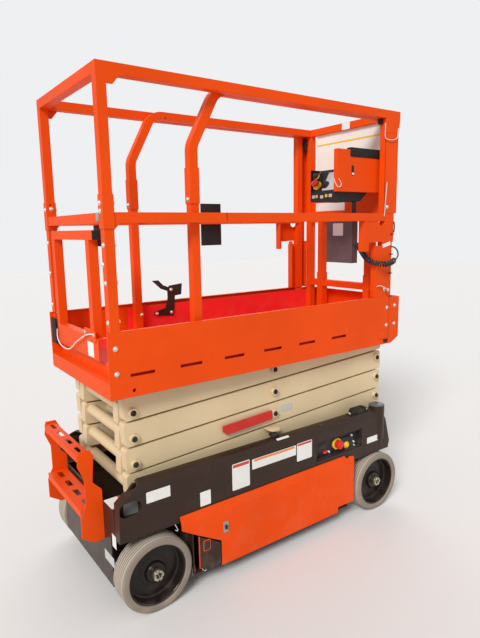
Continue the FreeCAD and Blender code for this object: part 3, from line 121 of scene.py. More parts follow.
def cord_curve(name, points):
    """A smooth line through the space between its control points, from the first to the last."""
    curve = bpy.data.curves.new(name, "CURVE")
    curve.dimensions = "3D"
    curve.resolution_u = 5
    spline = curve.splines.new("NURBS")
    spline.points.add(len(points) - 1)
    for knot, place in zip(spline.points, points):
        knot.co = (*place, 1)
    spline.order_u = 3
    spline.use_endpoint_u = True
    piece = bpy.data.objects.new(name, curve)
    scene.collection.objects.link(piece)
    return piece


guide = cord_curve("coil_guide", coil_route)
guide_mesh = bpy.data.meshes.new_from_object(guide)
guide_line = [corner.co.copy() for corner in guide_mesh.vertices]
bpy.data.objects.remove(guide)
bpy.data.meshes.remove(guide_mesh)
run_lengths = [0.0]
for before, after in zip(guide_line, guide_line[1:]):
    run_lengths.append(run_lengths[-1] + (after - before).length)
helix = [Vector(coil_route[0])]
side = (guide_line[1] - guide_line[0]).orthogonal().normalized()
segment = 0
last_point = turn_points * coil_turns
for step in range(last_point + 1):
    reached = run_lengths[-1] * (coil_margin + (1 - 2 * coil_margin) * step / last_point)
    while run_lengths[segment + 1] < reached:
        segment += 1
    along = (guide_line[segment + 1] - guide_line[segment]).normalized()
    centre = guide_line[segment] + along * (reached - run_lengths[segment])
    side = (side - along * side.dot(along)).normalized()
    angle = math.tau * step / turn_points
    swell = coil_mean_r * min(1.0, (step + 1) / fade_points, (last_point + 2 - step) / fade_points)
    helix.append(centre + (side * math.cos(angle) + along.cross(side) * math.sin(angle)) * swell)
curly_cord = cord_curve("curly_cord_coils", [*helix, *[Vector(place) for place in tail_route]])
curly_cord.data.bevel_depth = cord_thick / 2
curly_cord.data.bevel_resolution = 3
curly_cord.data.use_fill_caps = True
pvc = bpy.data.materials.new("black_pvc")
pvc.use_nodes = True
pvc_skin = pvc.node_tree.nodes["Principled BSDF"]
pvc_skin.inputs["Roughness"].default_value = 0.42
pvc_skin.inputs["Coat Weight"].default_value = 0.15
pvc_shade = pvc.node_tree.nodes.new("ShaderNodeValToRGB")
pvc_shade.color_ramp.elements[0].color = (0.010, 0.009, 0.009, 1)
pvc_shade.color_ramp.elements[1].color = (0.028, 0.025, 0.024, 1)
pvc_cloud = pvc.node_tree.nodes.new("ShaderNodeTexNoise")
pvc_cloud.inputs["Scale"].default_value = 60.0
pvc_place = pvc.node_tree.nodes.new("ShaderNodeTexCoord")
pvc.node_tree.links.new(pvc_place.outputs["Object"], pvc_cloud.inputs["Vector"])
pvc.node_tree.links.new(pvc_cloud.outputs["Fac"], pvc_shade.inputs["Fac"])
pvc.node_tree.links.new(pvc_shade.outputs["Color"], pvc_skin.inputs["Base Color"])
curly_cord.data.materials.append(pvc)
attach(curly_cord, "platform")
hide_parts("curly_cord", "cord_tail")

# Powder-coated steel
# The lift is welded from sheet, tube and bar, and every welded part is powder coated. The coat has a faint
# orange peel, a little shade variation, dust near the ground and thin wear along its edges. Plastic, rubber
# and bare metal have the same finish with other numbers.

dust_colour = (0.46, 0.34, 0.24)
bare_primer = (0.20, 0.17, 0.15)
edge_reach = 0.0022


def coated(name, colour, dust, low, high, rough=0.42, coat=0.10, wear=0.35, primer=bare_primer, shine=0.22,
           metallic=0.0):
    """A coat: its colour, how much dust, and the heights in metres between which the dust thins out."""
    finish = bpy.data.materials.new(name)
    finish.use_nodes = True
    nodes, links = finish.node_tree.nodes, finish.node_tree.links
    skin = nodes["Principled BSDF"]
    skin.inputs["Specular IOR Level"].default_value = shine
    skin.inputs["Coat Weight"].default_value = coat
    skin.inputs["Coat Roughness"].default_value = 0.15
    skin.inputs["Metallic"].default_value = metallic
    place = nodes.new("ShaderNodeTexCoord").outputs["Object"]

    def noise(scale, detail, roughness=0.55):
        made = nodes.new("ShaderNodeTexNoise")
        made.inputs["Scale"].default_value = scale
        made.inputs["Detail"].default_value = detail
        made.inputs["Roughness"].default_value = roughness
        links.new(place, made.inputs["Vector"])
        return made.outputs["Fac"]

    def ramp(value, low_in, high_in, low_out, high_out):
        made = nodes.new("ShaderNodeMapRange")
        made.interpolation_type = "SMOOTHSTEP"
        ends = {"From Min": low_in, "From Max": high_in, "To Min": low_out, "To Max": high_out}
        for key, number in ends.items():
            made.inputs[key].default_value = number
        links.new(value, made.inputs["Value"])
        return made.outputs["Result"]

    def product(first, second):
        made = nodes.new("ShaderNodeMath")
        made.operation = "MULTIPLY"
        links.new(first, made.inputs[0])
        links.new(second, made.inputs[1])
        return made.outputs[0]

    def mixed(factor, first, second):
        made = nodes.new("ShaderNodeMix")
        made.data_type = "RGBA"
        links.new(factor, made.inputs["Factor"])
        for socket, value in ((made.inputs["A"], first), (made.inputs["B"], second)):
            if isinstance(value, tuple):
                socket.default_value = (*value, 1)
            else:
                links.new(value, socket)
        return made.outputs["Result"]

    shade = ramp(noise(scale=2.3, detail=3.0), low_in=0.35, high_in=0.65, low_out=0.0, high_out=1.0)
    body = mixed(shade, tuple(c * 0.95 for c in colour), tuple(min(1.0, c * 1.04) for c in colour))
    height = nodes.new("ShaderNodeSeparateXYZ")
    links.new(place, height.inputs[0])
    cloud = noise(scale=14.0, detail=6.0, roughness=0.62)
    patches = ramp(cloud, low_in=0.40, high_in=0.72, low_out=0.0, high_out=1.0)
    by_height = ramp(height.outputs["Z"], low_in=low, high_in=high, low_out=dust, high_out=dust * 0.08)
    lying = product(by_height, patches)
    body = mixed(lying, body, dust_colour)
    rounded = nodes.new("ShaderNodeBevel")
    rounded.samples = 4
    rounded.inputs["Radius"].default_value = edge_reach
    flat = nodes.new("ShaderNodeNewGeometry")
    turned_away = nodes.new("ShaderNodeVectorMath")
    turned_away.operation = "DOT_PRODUCT"
    links.new(rounded.outputs["Normal"], turned_away.inputs[0])
    links.new(flat.outputs["Normal"], turned_away.inputs[1])
    grain = noise(scale=38.0, detail=5.0, roughness=0.7)
    worn = ramp(grain, low_in=0.50, high_in=0.62, low_out=0.0, high_out=1.0)
    at_edge = ramp(turned_away.outputs["Value"], low_in=0.93, high_in=0.80, low_out=0.0, high_out=wear)
    edge = product(at_edge, worn)
    body = mixed(edge, body, primer)
    links.new(body, skin.inputs["Base Color"])
    dusty_rough = ramp(lying, low_in=0.0, high_in=0.6, low_out=rough, high_out=0.85)
    links.new(dusty_rough, skin.inputs["Roughness"])
    peel = nodes.new("ShaderNodeBump")
    peel.inputs["Strength"].default_value = 0.05
    peel.inputs["Distance"].default_value = 0.0004
    links.new(noise(scale=420.0, detail=2.0), peel.inputs["Height"])
    links.new(rounded.outputs["Normal"], peel.inputs["Normal"])
    links.new(peel.outputs["Normal"], skin.inputs["Normal"])
    return finish


def dress(finish, *names):
    """Gives a finish to CAD nodes by name."""
    for name in names:
        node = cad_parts[name]
        node.data.materials.clear()
        node.data.materials.append(finish)


orange = coated("orange_coat", (0.80, 0.070, 0.0025), dust=0.07, low=0.05, high=0.60, rough=0.5, coat=0.03,
                shine=0.10)
dress(orange, "tray_door_left", "tray_door_right", "ladder", "platform_skirts", "rear_sill", "side_rail_left",
      "side_rail_right", "rear_rails", "gate_brackets", "rail_feet", "gate", "extension_toe_plates",
      "arch_rails", "front_frame", "station_shield")
red_deck = coated("red_deck_coat", (0.90, 0.026, 0.026), dust=0.14, low=0.9, high=1.3, rough=0.5, coat=0.03,
                  shine=0.12)
dress(red_deck, "platform_deck", "extension_deck", "extension_sides", "roller_channels", "cross_members")
cream = coated("cream_coat", (0.68, 0.53, 0.32), dust=0.08, low=0.3, high=1.0, rough=0.45, coat=0.06,
               primer=(0.34, 0.23, 0.12), shine=0.16)
dress(cream, *[f"{kind}_arms_{level}" for kind in ("outer", "inner") for level in range(1, 5)])
brown = coated("dark_brown_coat", (0.032, 0.016, 0.010), dust=0.14, low=0.05, high=0.40, rough=0.40,
               coat=0.14, shine=0.18)
dress(brown, "chassis_deck", "chassis_wall_left", "chassis_wall_right", "side_trays", "rear_axle",
      "front_axle", "knuckle_left", "knuckle_right", "pothole_guards", "deck_lock_lever")
black = coated("black_coat", (0.016, 0.014, 0.014), dust=0.15, low=0.05, high=0.8, rough=0.36)
dress(black, "lift_barrel", "rail_plate")
red = coated("red_coat", (0.60, 0.020, 0.014), dust=0.12, low=0.4, high=1.0)
dress(red, "maintenance_prop")
white = coated("white_board_coat", (0.83, 0.80, 0.72), dust=0.08, low=1.8, high=2.2, rough=0.45, wear=0.1)
dress(white, "front_board")
moulded = coated("dark_moulded_plastic", (0.018, 0.017, 0.018), dust=0.12, low=0.1, high=1.5, rough=0.5,
                 coat=0.0, wear=0.0)
dress(moulded, "control_station", "battery_block", "pump_block", "ground_panel")
box_grey = coated("grey_moulded_plastic", (0.125, 0.092, 0.100), dust=0.10, low=1.3, high=1.8, rough=0.5,
                  coat=0.0, wear=0.0)
dress(box_grey, "manual_box")
bright = coated("bright_steel", (0.78, 0.77, 0.75), dust=0.0, low=0.0, high=0.1, rough=0.22, coat=0.0,
                wear=0.0, metallic=1.0)
dress(bright, "lift_rod")

# Wheels
# Non-marking solid tyres, grey rubber cured on pressed rims with a deep dish. Six grooves run round each
# tread, and a castle nut with a split pin holds each hub on its spindle.


def corners(node):
    """A node's lowest and highest corners, to a tenth of a millimetre."""
    return [Vector([round(number, 4) for number in corner]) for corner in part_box(node)]


axle_x = {end: sum(corner.x for corner in corners(f"tyre_{end}_left")) / 2 for end in ("rear", "front")}
tyre_low, tyre_high = corners("tyre_rear_left")
wheel_r = round((tyre_high.x - tyre_low.x) / 2, 4)
wheel_face_y = tyre_high.y
rim_r = 0.130
groove_count = 6
groove_start = 0.0190
groove_step = 0.0125
groove_deep = 0.0034
groove_half = 0.0024
groove_floor_half = 0.0010


def turned(name, rings, segments):
    """A turned piece: a circle at the first (radius, height), extruded and resized to each next ring."""
    bpy.ops.object.select_all(action="DESELECT")
    radius, height = rings[0]
    bpy.ops.mesh.primitive_circle_add(vertices=segments, radius=radius, fill_type="NOTHING")
    piece = bpy.context.object
    piece.name = piece.data.name = name
    bpy.ops.object.mode_set(mode="EDIT")
    bpy.ops.mesh.select_all(action="SELECT")
    bpy.ops.transform.translate(value=(0, 0, height))
    for (before_r, before_z), (after_r, after_z) in zip(rings, rings[1:]):
        bpy.ops.mesh.extrude_region_move(TRANSFORM_OT_translate={"value": (0, 0, after_z - before_z)})
        grow = after_r / before_r
        bpy.ops.transform.resize(value=(grow, grow, 1), center_override=(0, 0, after_z))
    if rings[0] != rings[-1]:
        bpy.ops.mesh.edge_face_add()
        sheet = bmesh.from_edit_mesh(piece.data)
        sheet.edges.ensure_lookup_table()
        for edge in sheet.edges:
            edge.select_set(edge.is_boundary)
        bpy.ops.mesh.edge_face_add()
    return piece


def finish_piece(piece, finish, angle=35.0):
    """Merges doubles, turns faces outwards, leaves edit mode, smooths and coats the piece."""
    bpy.ops.mesh.select_all(action="SELECT")
    bpy.ops.mesh.remove_doubles(threshold=0.00002)
    bpy.ops.mesh.normals_make_consistent(inside=False)
    bpy.ops.object.mode_set(mode="OBJECT")
    bpy.ops.object.shade_smooth_by_angle(angle=math.radians(angle))
    piece.data.materials.append(finish)
    return piece


def put_each(master, places):
    """Copies a piece to each (body, point, direction of its z axis or None to leave it, turn in degrees)."""
    made = []
    for number, (body, where, facing, roll) in enumerate(places, 1):
        piece = master.copy()
        piece.data = master.data.copy()
        piece.name = piece.data.name = f"{master.name}_{number}"
        aim = Vector(facing).to_track_quat("Z", "Y").to_matrix().to_4x4() if facing else Matrix()
        piece.data.transform(Matrix.Translation(where) @ aim @ Matrix.Rotation(math.radians(roll), 4, "Z"))
        scene.collection.objects.link(piece)
        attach(piece, body)
        made.append(piece)
    bpy.data.objects.remove(master)
    return made


rubber = coated("grey_tyre_rubber", (0.250, 0.208, 0.165), dust=0.35, low=0.0, high=0.40, rough=0.8, coat=0.0,
                wear=0.0)
rim_coat = coated("rim_coat", (0.014, 0.009, 0.007), dust=0.10, low=0.03, high=0.12, rough=0.34, coat=0.20,
                  shine=0.2)
tread = [(wheel_r, -0.012)]
for groove in range(groove_count):
    middle = -groove_start - groove_step * groove
    tread += [(wheel_r, middle + groove_half), (wheel_r - groove_deep, middle + groove_floor_half),
              (wheel_r - groove_deep, middle - groove_floor_half), (wheel_r, middle - groove_half)]
tyre_section = [(rim_r, -0.004), (rim_r + 0.002, -0.0006), (rim_r + 0.005, 0.0), (0.1500, 0.0),
                (0.1530, -0.0006), (0.1562, -0.0020), (0.1588, -0.0044), (0.1606, -0.0078), *tread,
                (wheel_r, -0.088), (0.1604, -0.0925), (0.1580, -0.0965), (0.1540, -0.0992), (0.1490, -0.1),
                (rim_r, -0.099), (rim_r, -0.004)]
tyre = finish_piece(turned("tyre", tyre_section, segments=96), rubber, angle=25)
worn_tread = coated("worn_tread_rubber", (0.44, 0.38, 0.31), dust=0.35, low=0.0, high=0.40, rough=0.85,
                    coat=0.0, wear=0.0)
tyre.data.materials.append(worn_tread)
for face in tyre.data.polygons:
    on_tread = Vector(face.center[:2]).length > wheel_r - groove_deep / 2
    if on_tread and abs(face.normal.z) < 0.3:
        face.material_index = 1
rim_section = [(0.1298, -0.094), (0.1298, -0.0075), (0.1285, -0.0062), (0.1240, -0.0062), (0.1222, -0.0085),
               (0.1205, -0.040), (0.1180, -0.0475), (0.1130, -0.0512), (0.0640, -0.0520), (0.0620, -0.0505),
               (0.0520, -0.0495), (0.0455, -0.0460), (0.0425, -0.0290), (0.0400, -0.0262), (0.0236, -0.0260),
               (0.0236, -0.0940), (0.0420, -0.0940), (0.0425, -0.0625), (0.1200, -0.0620), (0.1222, -0.0645),
               (0.1222, -0.0940), (0.1298, -0.0940)]
rim = finish_piece(turned("rim", rim_section, segments=96), rim_coat, angle=25)
hub_steel = coated("hub_steel", (0.56, 0.50, 0.40), dust=0.10, low=0.0, high=0.3, rough=0.30, coat=0.0,
                   wear=0.3, metallic=0.9)
nut_section = [(0.0232, -0.0250), (0.0234, -0.0245), (0.0234, -0.0062), (0.0222, -0.0045), (0.0130, -0.0045),
               (0.0130, -0.0062), (0.0230, -0.0062), (0.0230, -0.0250), (0.0232, -0.0250)]
nut_facets = 36
nut_slots = 6
crown_z = -0.0045
crown_high = 0.0052
nut = turned("castle_nut", nut_section, segments=nut_facets)
crown = bmesh.from_edit_mesh(nut.data)
for face in crown.faces:
    across = face.calc_center_median()
    facet = int(math.degrees(math.atan2(across.y, across.x)) // (360 / nut_facets))
    tooth = facet % (nut_facets // nut_slots) not in (0, 1)
    face.select_set(face.normal.z ** 2 > 0.9 and abs(across.z - crown_z) < 0.0001 and tooth)
bpy.ops.mesh.extrude_region_move(TRANSFORM_OT_translate={"value": (0, 0, crown_high)})
finish_piece(nut, hub_steel, angle=30)
split_pin = turned("split_pin", [(0.0004, -0.0260), (0.0014, -0.0255), (0.0016, -0.0240), (0.0016, 0.0235),
                                 (0.0026, 0.0250), (0.0026, 0.0275), (0.0010, 0.0290), (0.0004, 0.0290)],
                   segments=12)
bpy.ops.mesh.select_all(action="SELECT")
bpy.ops.transform.rotate(value=math.radians(90), orient_axis="X", center_override=(0, 0, 0))
bpy.ops.transform.translate(value=(0, 0, -0.0018))
finish_piece(split_pin, hub_steel, angle=40)
wheel_places = [(end, name, x, hand) for end, x in axle_x.items()
                for name, hand in (("left", 1), ("right", -1))]
spots = [(f"wheel_{end}_{name}", (x, hand * wheel_face_y, wheel_r), (0, hand, 0), 0)
         for end, name, x, hand in wheel_places]
tyres = put_each(tyre, spots)
rims = put_each(rim, spots)
for tyre_copy, rim_copy, (end, name, x, hand) in zip(tyres, rims, wheel_places):
    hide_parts(f"tyre_{end}_{name}")
    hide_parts(f"rim_{end}_{name}")
hubs = [("chassis" if end == "rear" else f"steer_{name}", (x, hand * wheel_face_y, wheel_r), (0, hand, 0), 20)
        for end, name, x, hand in wheel_places]
put_each(nut, hubs)
put_each(split_pin, hubs)

# Bolts of the side rails and toe boards
# Dome-headed bolts with thin washers go through the folding posts and their sleeves, with hexagon nuts on
# the far face, so that the rails can be taken down. All are steel, plated with zinc.


def open_primitive(kind, name, **start):
    """Starts a piece from a primitive, in edit mode with everything selected."""
    bpy.ops.object.select_all(action="DESELECT")
    getattr(bpy.ops.mesh, f"primitive_{kind}_add")(**start)
    piece = bpy.context.object
    piece.name = piece.data.name = name
    bpy.ops.object.mode_set(mode="EDIT")
    bpy.ops.mesh.select_all(action="SELECT")
    return piece


zinc = coated("zinc_plate", (0.72, 0.68, 0.58), dust=0.10, low=0.1, high=1.2, rough=0.34, coat=0.0, wear=0.2,
              metallic=0.85)
dark_rubber = coated("black_rubber", (0.014, 0.013, 0.013), dust=0.20, low=0.1, high=1.3, rough=0.62,
                     coat=0.0, wear=0.0)
dome = turned("dome_bolt", [(0.0105, 0.0), (0.0105, 0.0016), (0.0082, 0.0018), (0.0080, 0.0032),
                            (0.0062, 0.0056), (0.0034, 0.0070), (0.0004, 0.0074)], segments=24)
finish_piece(dome, zinc, angle=40)
nut_high = 0.0080
nut = open_primitive("circle", "hex_nut", vertices=6, radius=0.0090, fill_type="NGON")
bpy.ops.mesh.extrude_region_move(TRANSFORM_OT_translate={"value": (0, 0, nut_high)})
bpy.ops.mesh.bevel(offset=0.0008, segments=2, affect="EDGES")
finish_piece(nut, zinc, angle=30)
rear_way, front_way, near_way, far_way = (-1, 0, 0), (1, 0, 0), (0, -1, 0), (0, 1, 0)
side_y = 0.356
sleeve_y = 0.340
sleeve_heights = (1.517, 1.377, 1.228)
heads = [("platform", (-0.789, hand * 0.333, 1.669), rear_way, 0) for hand in (-1, 1)]
heads += [("platform", (-0.786, hand * sleeve_y, z), rear_way, 0) for hand in (-1, 1) for z in sleeve_heights]
heads += [("platform", (-0.789, -0.333, 1.640), rear_way, 0),
          ("platform", (-0.786, -0.325, 1.445), rear_way, 0)]
heads += [("extension", (-0.394, -0.291, 1.691), rear_way, 0),
          ("extension", (-0.394, 0.291, 1.694), rear_way, 0)]
heads += [("extension", (-0.359, 0.272, 1.138), near_way, 0),
          ("extension", (-0.359, -0.272, 1.138), far_way, 0)]
heads += [("extension", (x, 0.300, z), near_way, 0)
          for x, z in ((-0.258, 1.130), (-0.171, 1.130), (-0.169, 1.252))]
heads += [("platform", (x, hand * side_y, z), (0, hand, 0), 0)
          for hand in (-1, 1) for x, z in ((0.802, 1.130), (0.800, 1.033))]
heads += [("extension", (0.866, hand * side_y, z), (0, hand, 0), 0) for hand in (-1, 1)
          for z in (1.137, 1.035)]
heads += [("platform", (-0.770, hand * side_y, z), (0, hand, 0), 0) for hand in (-1, 1)
          for z in (1.128, 1.029)]
heads += [("platform", (-0.767, 0.359, 1.672), far_way, 0), ("platform", (-0.767, 0.315, 1.672), near_way, 0)]
heads += [("platform", (0.780, hand * side_y, 1.668), (0, hand, 0), 0) for hand in (-1, 1)]
put_each(dome, heads)
nuts = [("platform", (-0.745, hand * sleeve_y, 1.669), front_way, 20) for hand in (-1, 1)]
nuts += [("platform", (-0.748, hand * sleeve_y, z), front_way, 20 * k) for hand in (-1, 1)
         for k, z in enumerate(sleeve_heights)]
nuts += [("extension", (-0.350, hand * 0.291, 1.692), front_way, 10) for hand in (-1, 1)]
put_each(nut, nuts)

# Scissor pins and collars
# Each pin of the arms turns in a cream boss with a raised ring, and a dark bolt with a socket and a washer
# closes its end. Bosses and bolts are the same on both sides.

pin_ring = [(0.0200, 0.0), (0.0200, 0.0026), (0.0188, 0.0040), (0.0140, 0.0040), (0.0126, 0.0030),
            (0.0126, 0.0), (0.0200, 0.0)]
boss = finish_piece(turned("pin_boss", pin_ring, segments=40), cream, angle=30)
keeper_rings = [(0.0124, 0.0), (0.0124, 0.0034), (0.0112, 0.0046), (0.0108, 0.0046), (0.0104, 0.0076),
                (0.0094, 0.0090), (0.0056, 0.0090), (0.0050, 0.0086), (0.0050, 0.0050), (0.0004, 0.0044)]
keeper = finish_piece(turned("pin_bolt", keeper_rings, segments=40), moulded, angle=30)
pin_y = 0.295
pin_rows = [("inner", -0.685, (0.617, 0.728, 0.839)), ("inner", 0.0589, (0.5615, 0.6725, 0.7835, 0.8945)),
            ("outer", 0.8029, (0.617, 0.728, 0.839))]
pin_spots = [(f"{kind}_{level}", (x, hand * pin_y, z), (0, hand, 0), 0)
             for kind, x, heights in pin_rows for level, z in enumerate(heights, 1) for hand in (-1, 1)]
put_each(boss, pin_spots)
put_each(keeper, pin_spots)

# Stops on the chassis top
# Moulded rubber stops catch the arms as they come down, and the long one is ribbed and bolted down through
# its foot. A cream wedge is welded to the lowest arm beside the middle pin, and each front post has a brown
# sleeve and a painted cap.

top_z = 0.5745
post_x, post_y, post_top = 0.742, 0.3525, 0.5880
rib_count = 7
rib_step = 0.0125


def block(name, low, high, ease=0.0015):
    """A box between two corners with eased edges, in place."""
    piece = open_primitive("cube", name, size=1)
    size = [b - a for a, b in zip(low, high)]
    bpy.ops.transform.resize(value=size, center_override=(0, 0, 0))
    bpy.ops.transform.translate(value=[(a + b) / 2 for a, b in zip(low, high)])
    bpy.ops.mesh.bevel(offset=min(ease, 0.3 * min(size)), segments=2, affect="EDGES")
    return piece


def settle(piece, finish, body, angle=35.0):
    """Finishes a single piece that was made in place, and lets it ride a body."""
    finish_piece(piece, finish, angle)
    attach(piece, body)
    return piece


wedge = block("arm_wedge", (-0.012, -0.331, 0.592), (0.060, -0.284, 0.612), ease=0.002)
bpy.ops.mesh.select_all(action="DESELECT")
shape = bmesh.from_edit_mesh(wedge.data)
slant_x, slant_z = 0.02, 0.600
for corner in shape.verts:
    corner.select_set(corner.co.z < slant_z and corner.co.x < slant_x)
bpy.ops.transform.translate(value=(0.022, 0, 0.006))
settle(wedge, cream, "outer_1")
for name, low, high, ease in (
    ("round_stop", (0.003, -0.347, top_z), (0.041, -0.309, 0.5920), 0.007),
    ("ribbed_stop_foot", (0.524, -0.368, top_z), (0.668, -0.330, 0.5790), 0.002),
    ("ribbed_stop", (0.536, -0.366, 0.576), (0.646, -0.332, 0.6020), 0.007),
):
    settle(block(name, low, high, ease), dark_rubber, "chassis")
rib = block("ribbed_stop_rib", (0.550, -0.3680, 0.580), (0.5550, -0.3300, 0.6045), ease=0.0018)
finish_piece(rib, dark_rubber)
put_each(rib, [("chassis", (rib_step * k, 0, 0), None, 0) for k in range(rib_count)])
stop_rings = [(0.0085, 0.0), (0.0085, 0.0045), (0.0075, 0.0056), (0.0040, 0.0056), (0.0036, 0.0030),
              (0.0004, 0.0030)]
stop_bolt = finish_piece(turned("stop_bolt", stop_rings, segments=20), zinc, angle=30)
put_each(stop_bolt, [("chassis", (x, -0.349, 0.5797), (0, 0, 1), 0) for x in (0.529, 0.658)])
post_sleeve = turned("front_post_sleeve", [(0.0425, 0.400), (0.0430, 0.402), (0.0430, 0.588), (0.0415, 0.589),
                                           (0.0415, 0.402), (0.0425, 0.400)], segments=48)
finish_piece(post_sleeve, brown, angle=40)
put_each(post_sleeve, [("chassis", (post_x, hand * post_y, 0), None, 0) for hand in (-1, 1)])
post_cap = turned("front_post_cap", [(0.0424, 0.0), (0.0424, 0.0030), (0.0400, 0.0048), (0.0200, 0.0056),
                                     (0.0006, 0.0058)], segments=48)
cap_grey = coated("post_cap_grey", (0.085, 0.088, 0.100), dust=0.15, low=0.3, high=0.7, rough=0.40, coat=0.2,
                  wear=0.2)
finish_piece(post_cap, cap_grey, angle=40)
put_each(post_cap, [("chassis", (post_x, hand * post_y, post_top), None, 0) for hand in (-1, 1)])
settle(block("small_stop", (0.288, -0.372, 0.5660), (0.316, -0.356, 0.5760), ease=0.002), dark_rubber,
       "chassis")

# Blank label plates
# Printed vinyl labels on the side walls. Their words and signs are left out: each is a plain plate with at
# most a plain coloured band along its top, and its rim is eased and a little dusty.


def slab(name, wide, high, thick, corner, dish=0.0):
    """A flat piece in its x and y, standing thick above zero, with rounded corners and an eased rim."""
    piece = open_primitive("plane", name, size=1)
    bpy.ops.transform.resize(value=(wide, high, 1), center_override=(0, 0, 0))
    if corner:
        bpy.ops.mesh.bevel(offset=corner, segments=4, affect="VERTICES")
    bpy.ops.mesh.select_all(action="SELECT")
    ease = thick * 0.2
    bpy.ops.mesh.extrude_region_move(TRANSFORM_OT_translate={"value": (0, 0, thick * 0.8)})
    bpy.ops.mesh.extrude_region_move(TRANSFORM_OT_translate={"value": (0, 0, ease)})
    shrink = (1 - 2 * ease / wide, 1 - 2 * ease / high, 1)
    bpy.ops.transform.resize(value=shrink, center_override=(0, 0, thick))
    if dish:
        bpy.ops.mesh.inset(thickness=0.12 * min(wide, high), depth=-dish)
    return piece


def vinyl(name, colour, dust, rough=0.35):
    """Printed vinyl: a smooth skin of one colour."""
    return coated(name, colour, dust, low=0.2, high=1.2, rough=rough, coat=0.1, wear=0.1)


label_white = vinyl("label_white", (0.80, 0.79, 0.75), dust=0.12)
label_red = vinyl("label_red", (0.66, 0.045, 0.030), dust=0.10)
label_orange = vinyl("label_orange", (0.86, 0.24, 0.03), dust=0.10)
label_silver = vinyl("label_silver", (0.50, 0.50, 0.49), dust=0.15, rough=0.30)
label_yellow = vinyl("label_yellow", (0.86, 0.52, 0.04), dust=0.08)
label_thick = 0.0006
band_thick = 0.0003
band_base = 0.00055


def label(name, body, where, facing, wide, high, finish, band=None, band_finish=None, roll=0.0):
    """A label plate centred on a point; band gives the shares of its height where a coloured strip lies."""
    plate = slab(name, wide, high, thick=label_thick, corner=min(wide, high) * 0.06)
    finish_piece(plate, finish, angle=30)
    put_each(plate, [(body, where, facing, roll)])
    if band:
        start, end = band
        strip = slab(name + "_band", wide * 0.92, high * (end - start), thick=band_thick,
                     corner=min(wide, high) * 0.03)
        bpy.ops.mesh.select_all(action="SELECT")
        bpy.ops.transform.translate(value=(0, high * ((start + end) / 2 - 0.5), band_base))
        finish_piece(strip, band_finish, angle=30)
        put_each(strip, [(body, where, facing, roll)])


wall_y, top_band = -0.385, (0.85, 0.965)
wall_labels = [("rear", -0.218, 0.467, 0.098, 0.126, top_band, label_red),
               ("wide", -0.0205, 0.4985, 0.269, 0.050, (0.74, 0.95), label_orange),
               ("front", 0.170, 0.4815, 0.100, 0.093, top_band, label_red),
               ("corner", -0.6335, 0.507, 0.109, 0.048, None, None),
               ("small", -0.410, 0.418, 0.054, 0.066, None, None),
               ("end", 0.677, 0.4125, 0.091, 0.034, None, None)]
for tag, x, z, wide, high, band, band_finish in wall_labels:
    label(f"wall_label_{tag}", "chassis", (x, wall_y, z), near_way, wide, high, label_white, band,
          band_finish)
shoulder_way = (0, -0.45, 0.89)
label("shoulder_label", "chassis", (0.046, -0.3655, 0.5712), shoulder_way, 0.076, 0.013, label_white)
for tag, x, z, wide, high in (("rear", 0.218, 0.467, 0.098, 0.126), ("front", -0.170, 0.4815, 0.100, 0.093)):
    label(f"far_wall_label_{tag}", "chassis", (x, -wall_y, z), far_way, wide, high, label_white, top_band,
          label_red)

# Rear corner flanges
# Behind each rear corner box the side wall turns inwards in a flat flange of brown plate. A blank label and a
# small red patch lie on the near one, and a grey plate backs each tie-down slot.

sheet_up = (0, 0, 1)
corner_sheet = slab("rear_wall_flange", wide=0.074, high=0.108, thick=0.0020, corner=0)
finish_piece(corner_sheet, brown)
put_each(corner_sheet, [("chassis", (-0.7730, hand * 0.2800, 0.4684), sheet_up, 0) for hand in (-1, 1)])
label("flange_label", "chassis", (-0.7735, -0.2730, 0.4706), sheet_up, 0.069, 0.090, label_white)
label("flange_patch", "chassis", (-0.7460, -0.2360, 0.4713), sheet_up, 0.010, 0.012, label_red)
latch_grey = coated("latch_grey", (0.30, 0.29, 0.28), dust=0.15, low=0.1, high=0.5, rough=0.40, coat=0.1,
                    wear=0.3)
backing = slab("tie_down_backing", wide=0.074, high=0.058, thick=0.0010, corner=0.006)
finish_piece(backing, latch_grey)
put_each(backing, [("chassis", (-0.7325, hand * 0.3412, 0.464), (0, hand, 0), 0) for hand in (-1, 1)])

# Labels on the tail, gate and rails
# More printed vinyl labels: on the rear of the chassis, an arm, the gate, the manual box, the front frame,
# the board and the rails. Their words and signs are left out, and the line near the board's lower edge is
# yellow.

small_labels = [("tail_plate", "chassis", (-0.8092, -0.262, 0.228), rear_way, 0.100, 0.044, label_silver),
                ("tail_label", "chassis", (-0.8092, -0.326, 0.335), rear_way, 0.040, 0.056, label_white),
                ("arm_label", "outer_2", (0.140, -0.2852, 0.684), near_way, 0.074, 0.034, label_silver),
                ("gate_label", "gate", (-0.787, -0.140, 1.094), rear_way, 0.066, 0.064, label_white),
                ("manual_box_label", "extension", (0.779, -0.006, 1.554), rear_way, 0.081, 0.072,
                 label_white),
                ("frame_label", "extension", (0.840, 0.122, 1.6900), rear_way, 0.240, 0.050, label_white),
                ("board_line", "extension", (0.840, -0.010, 2.056), rear_way, 0.486, 0.009, label_yellow),
                ("rail_tab", "extension", (0.823, -0.014, 2.134), rear_way, 0.060, 0.038, label_white)]
for name, body, where, facing, wide, high, finish in small_labels:
    label(name, body, where, facing, wide, high, finish)
label("rail_tag", "platform", (0.787, -0.3542, 1.471), near_way, 0.064, 0.020, label_white, roll=14)

# Ground controls
# The lower panel sits back in the side wall, on a dark moulded plate: a round yellow guard with its red
# mushroom button, a yellow key switch, a red rocker and small white lever caps.

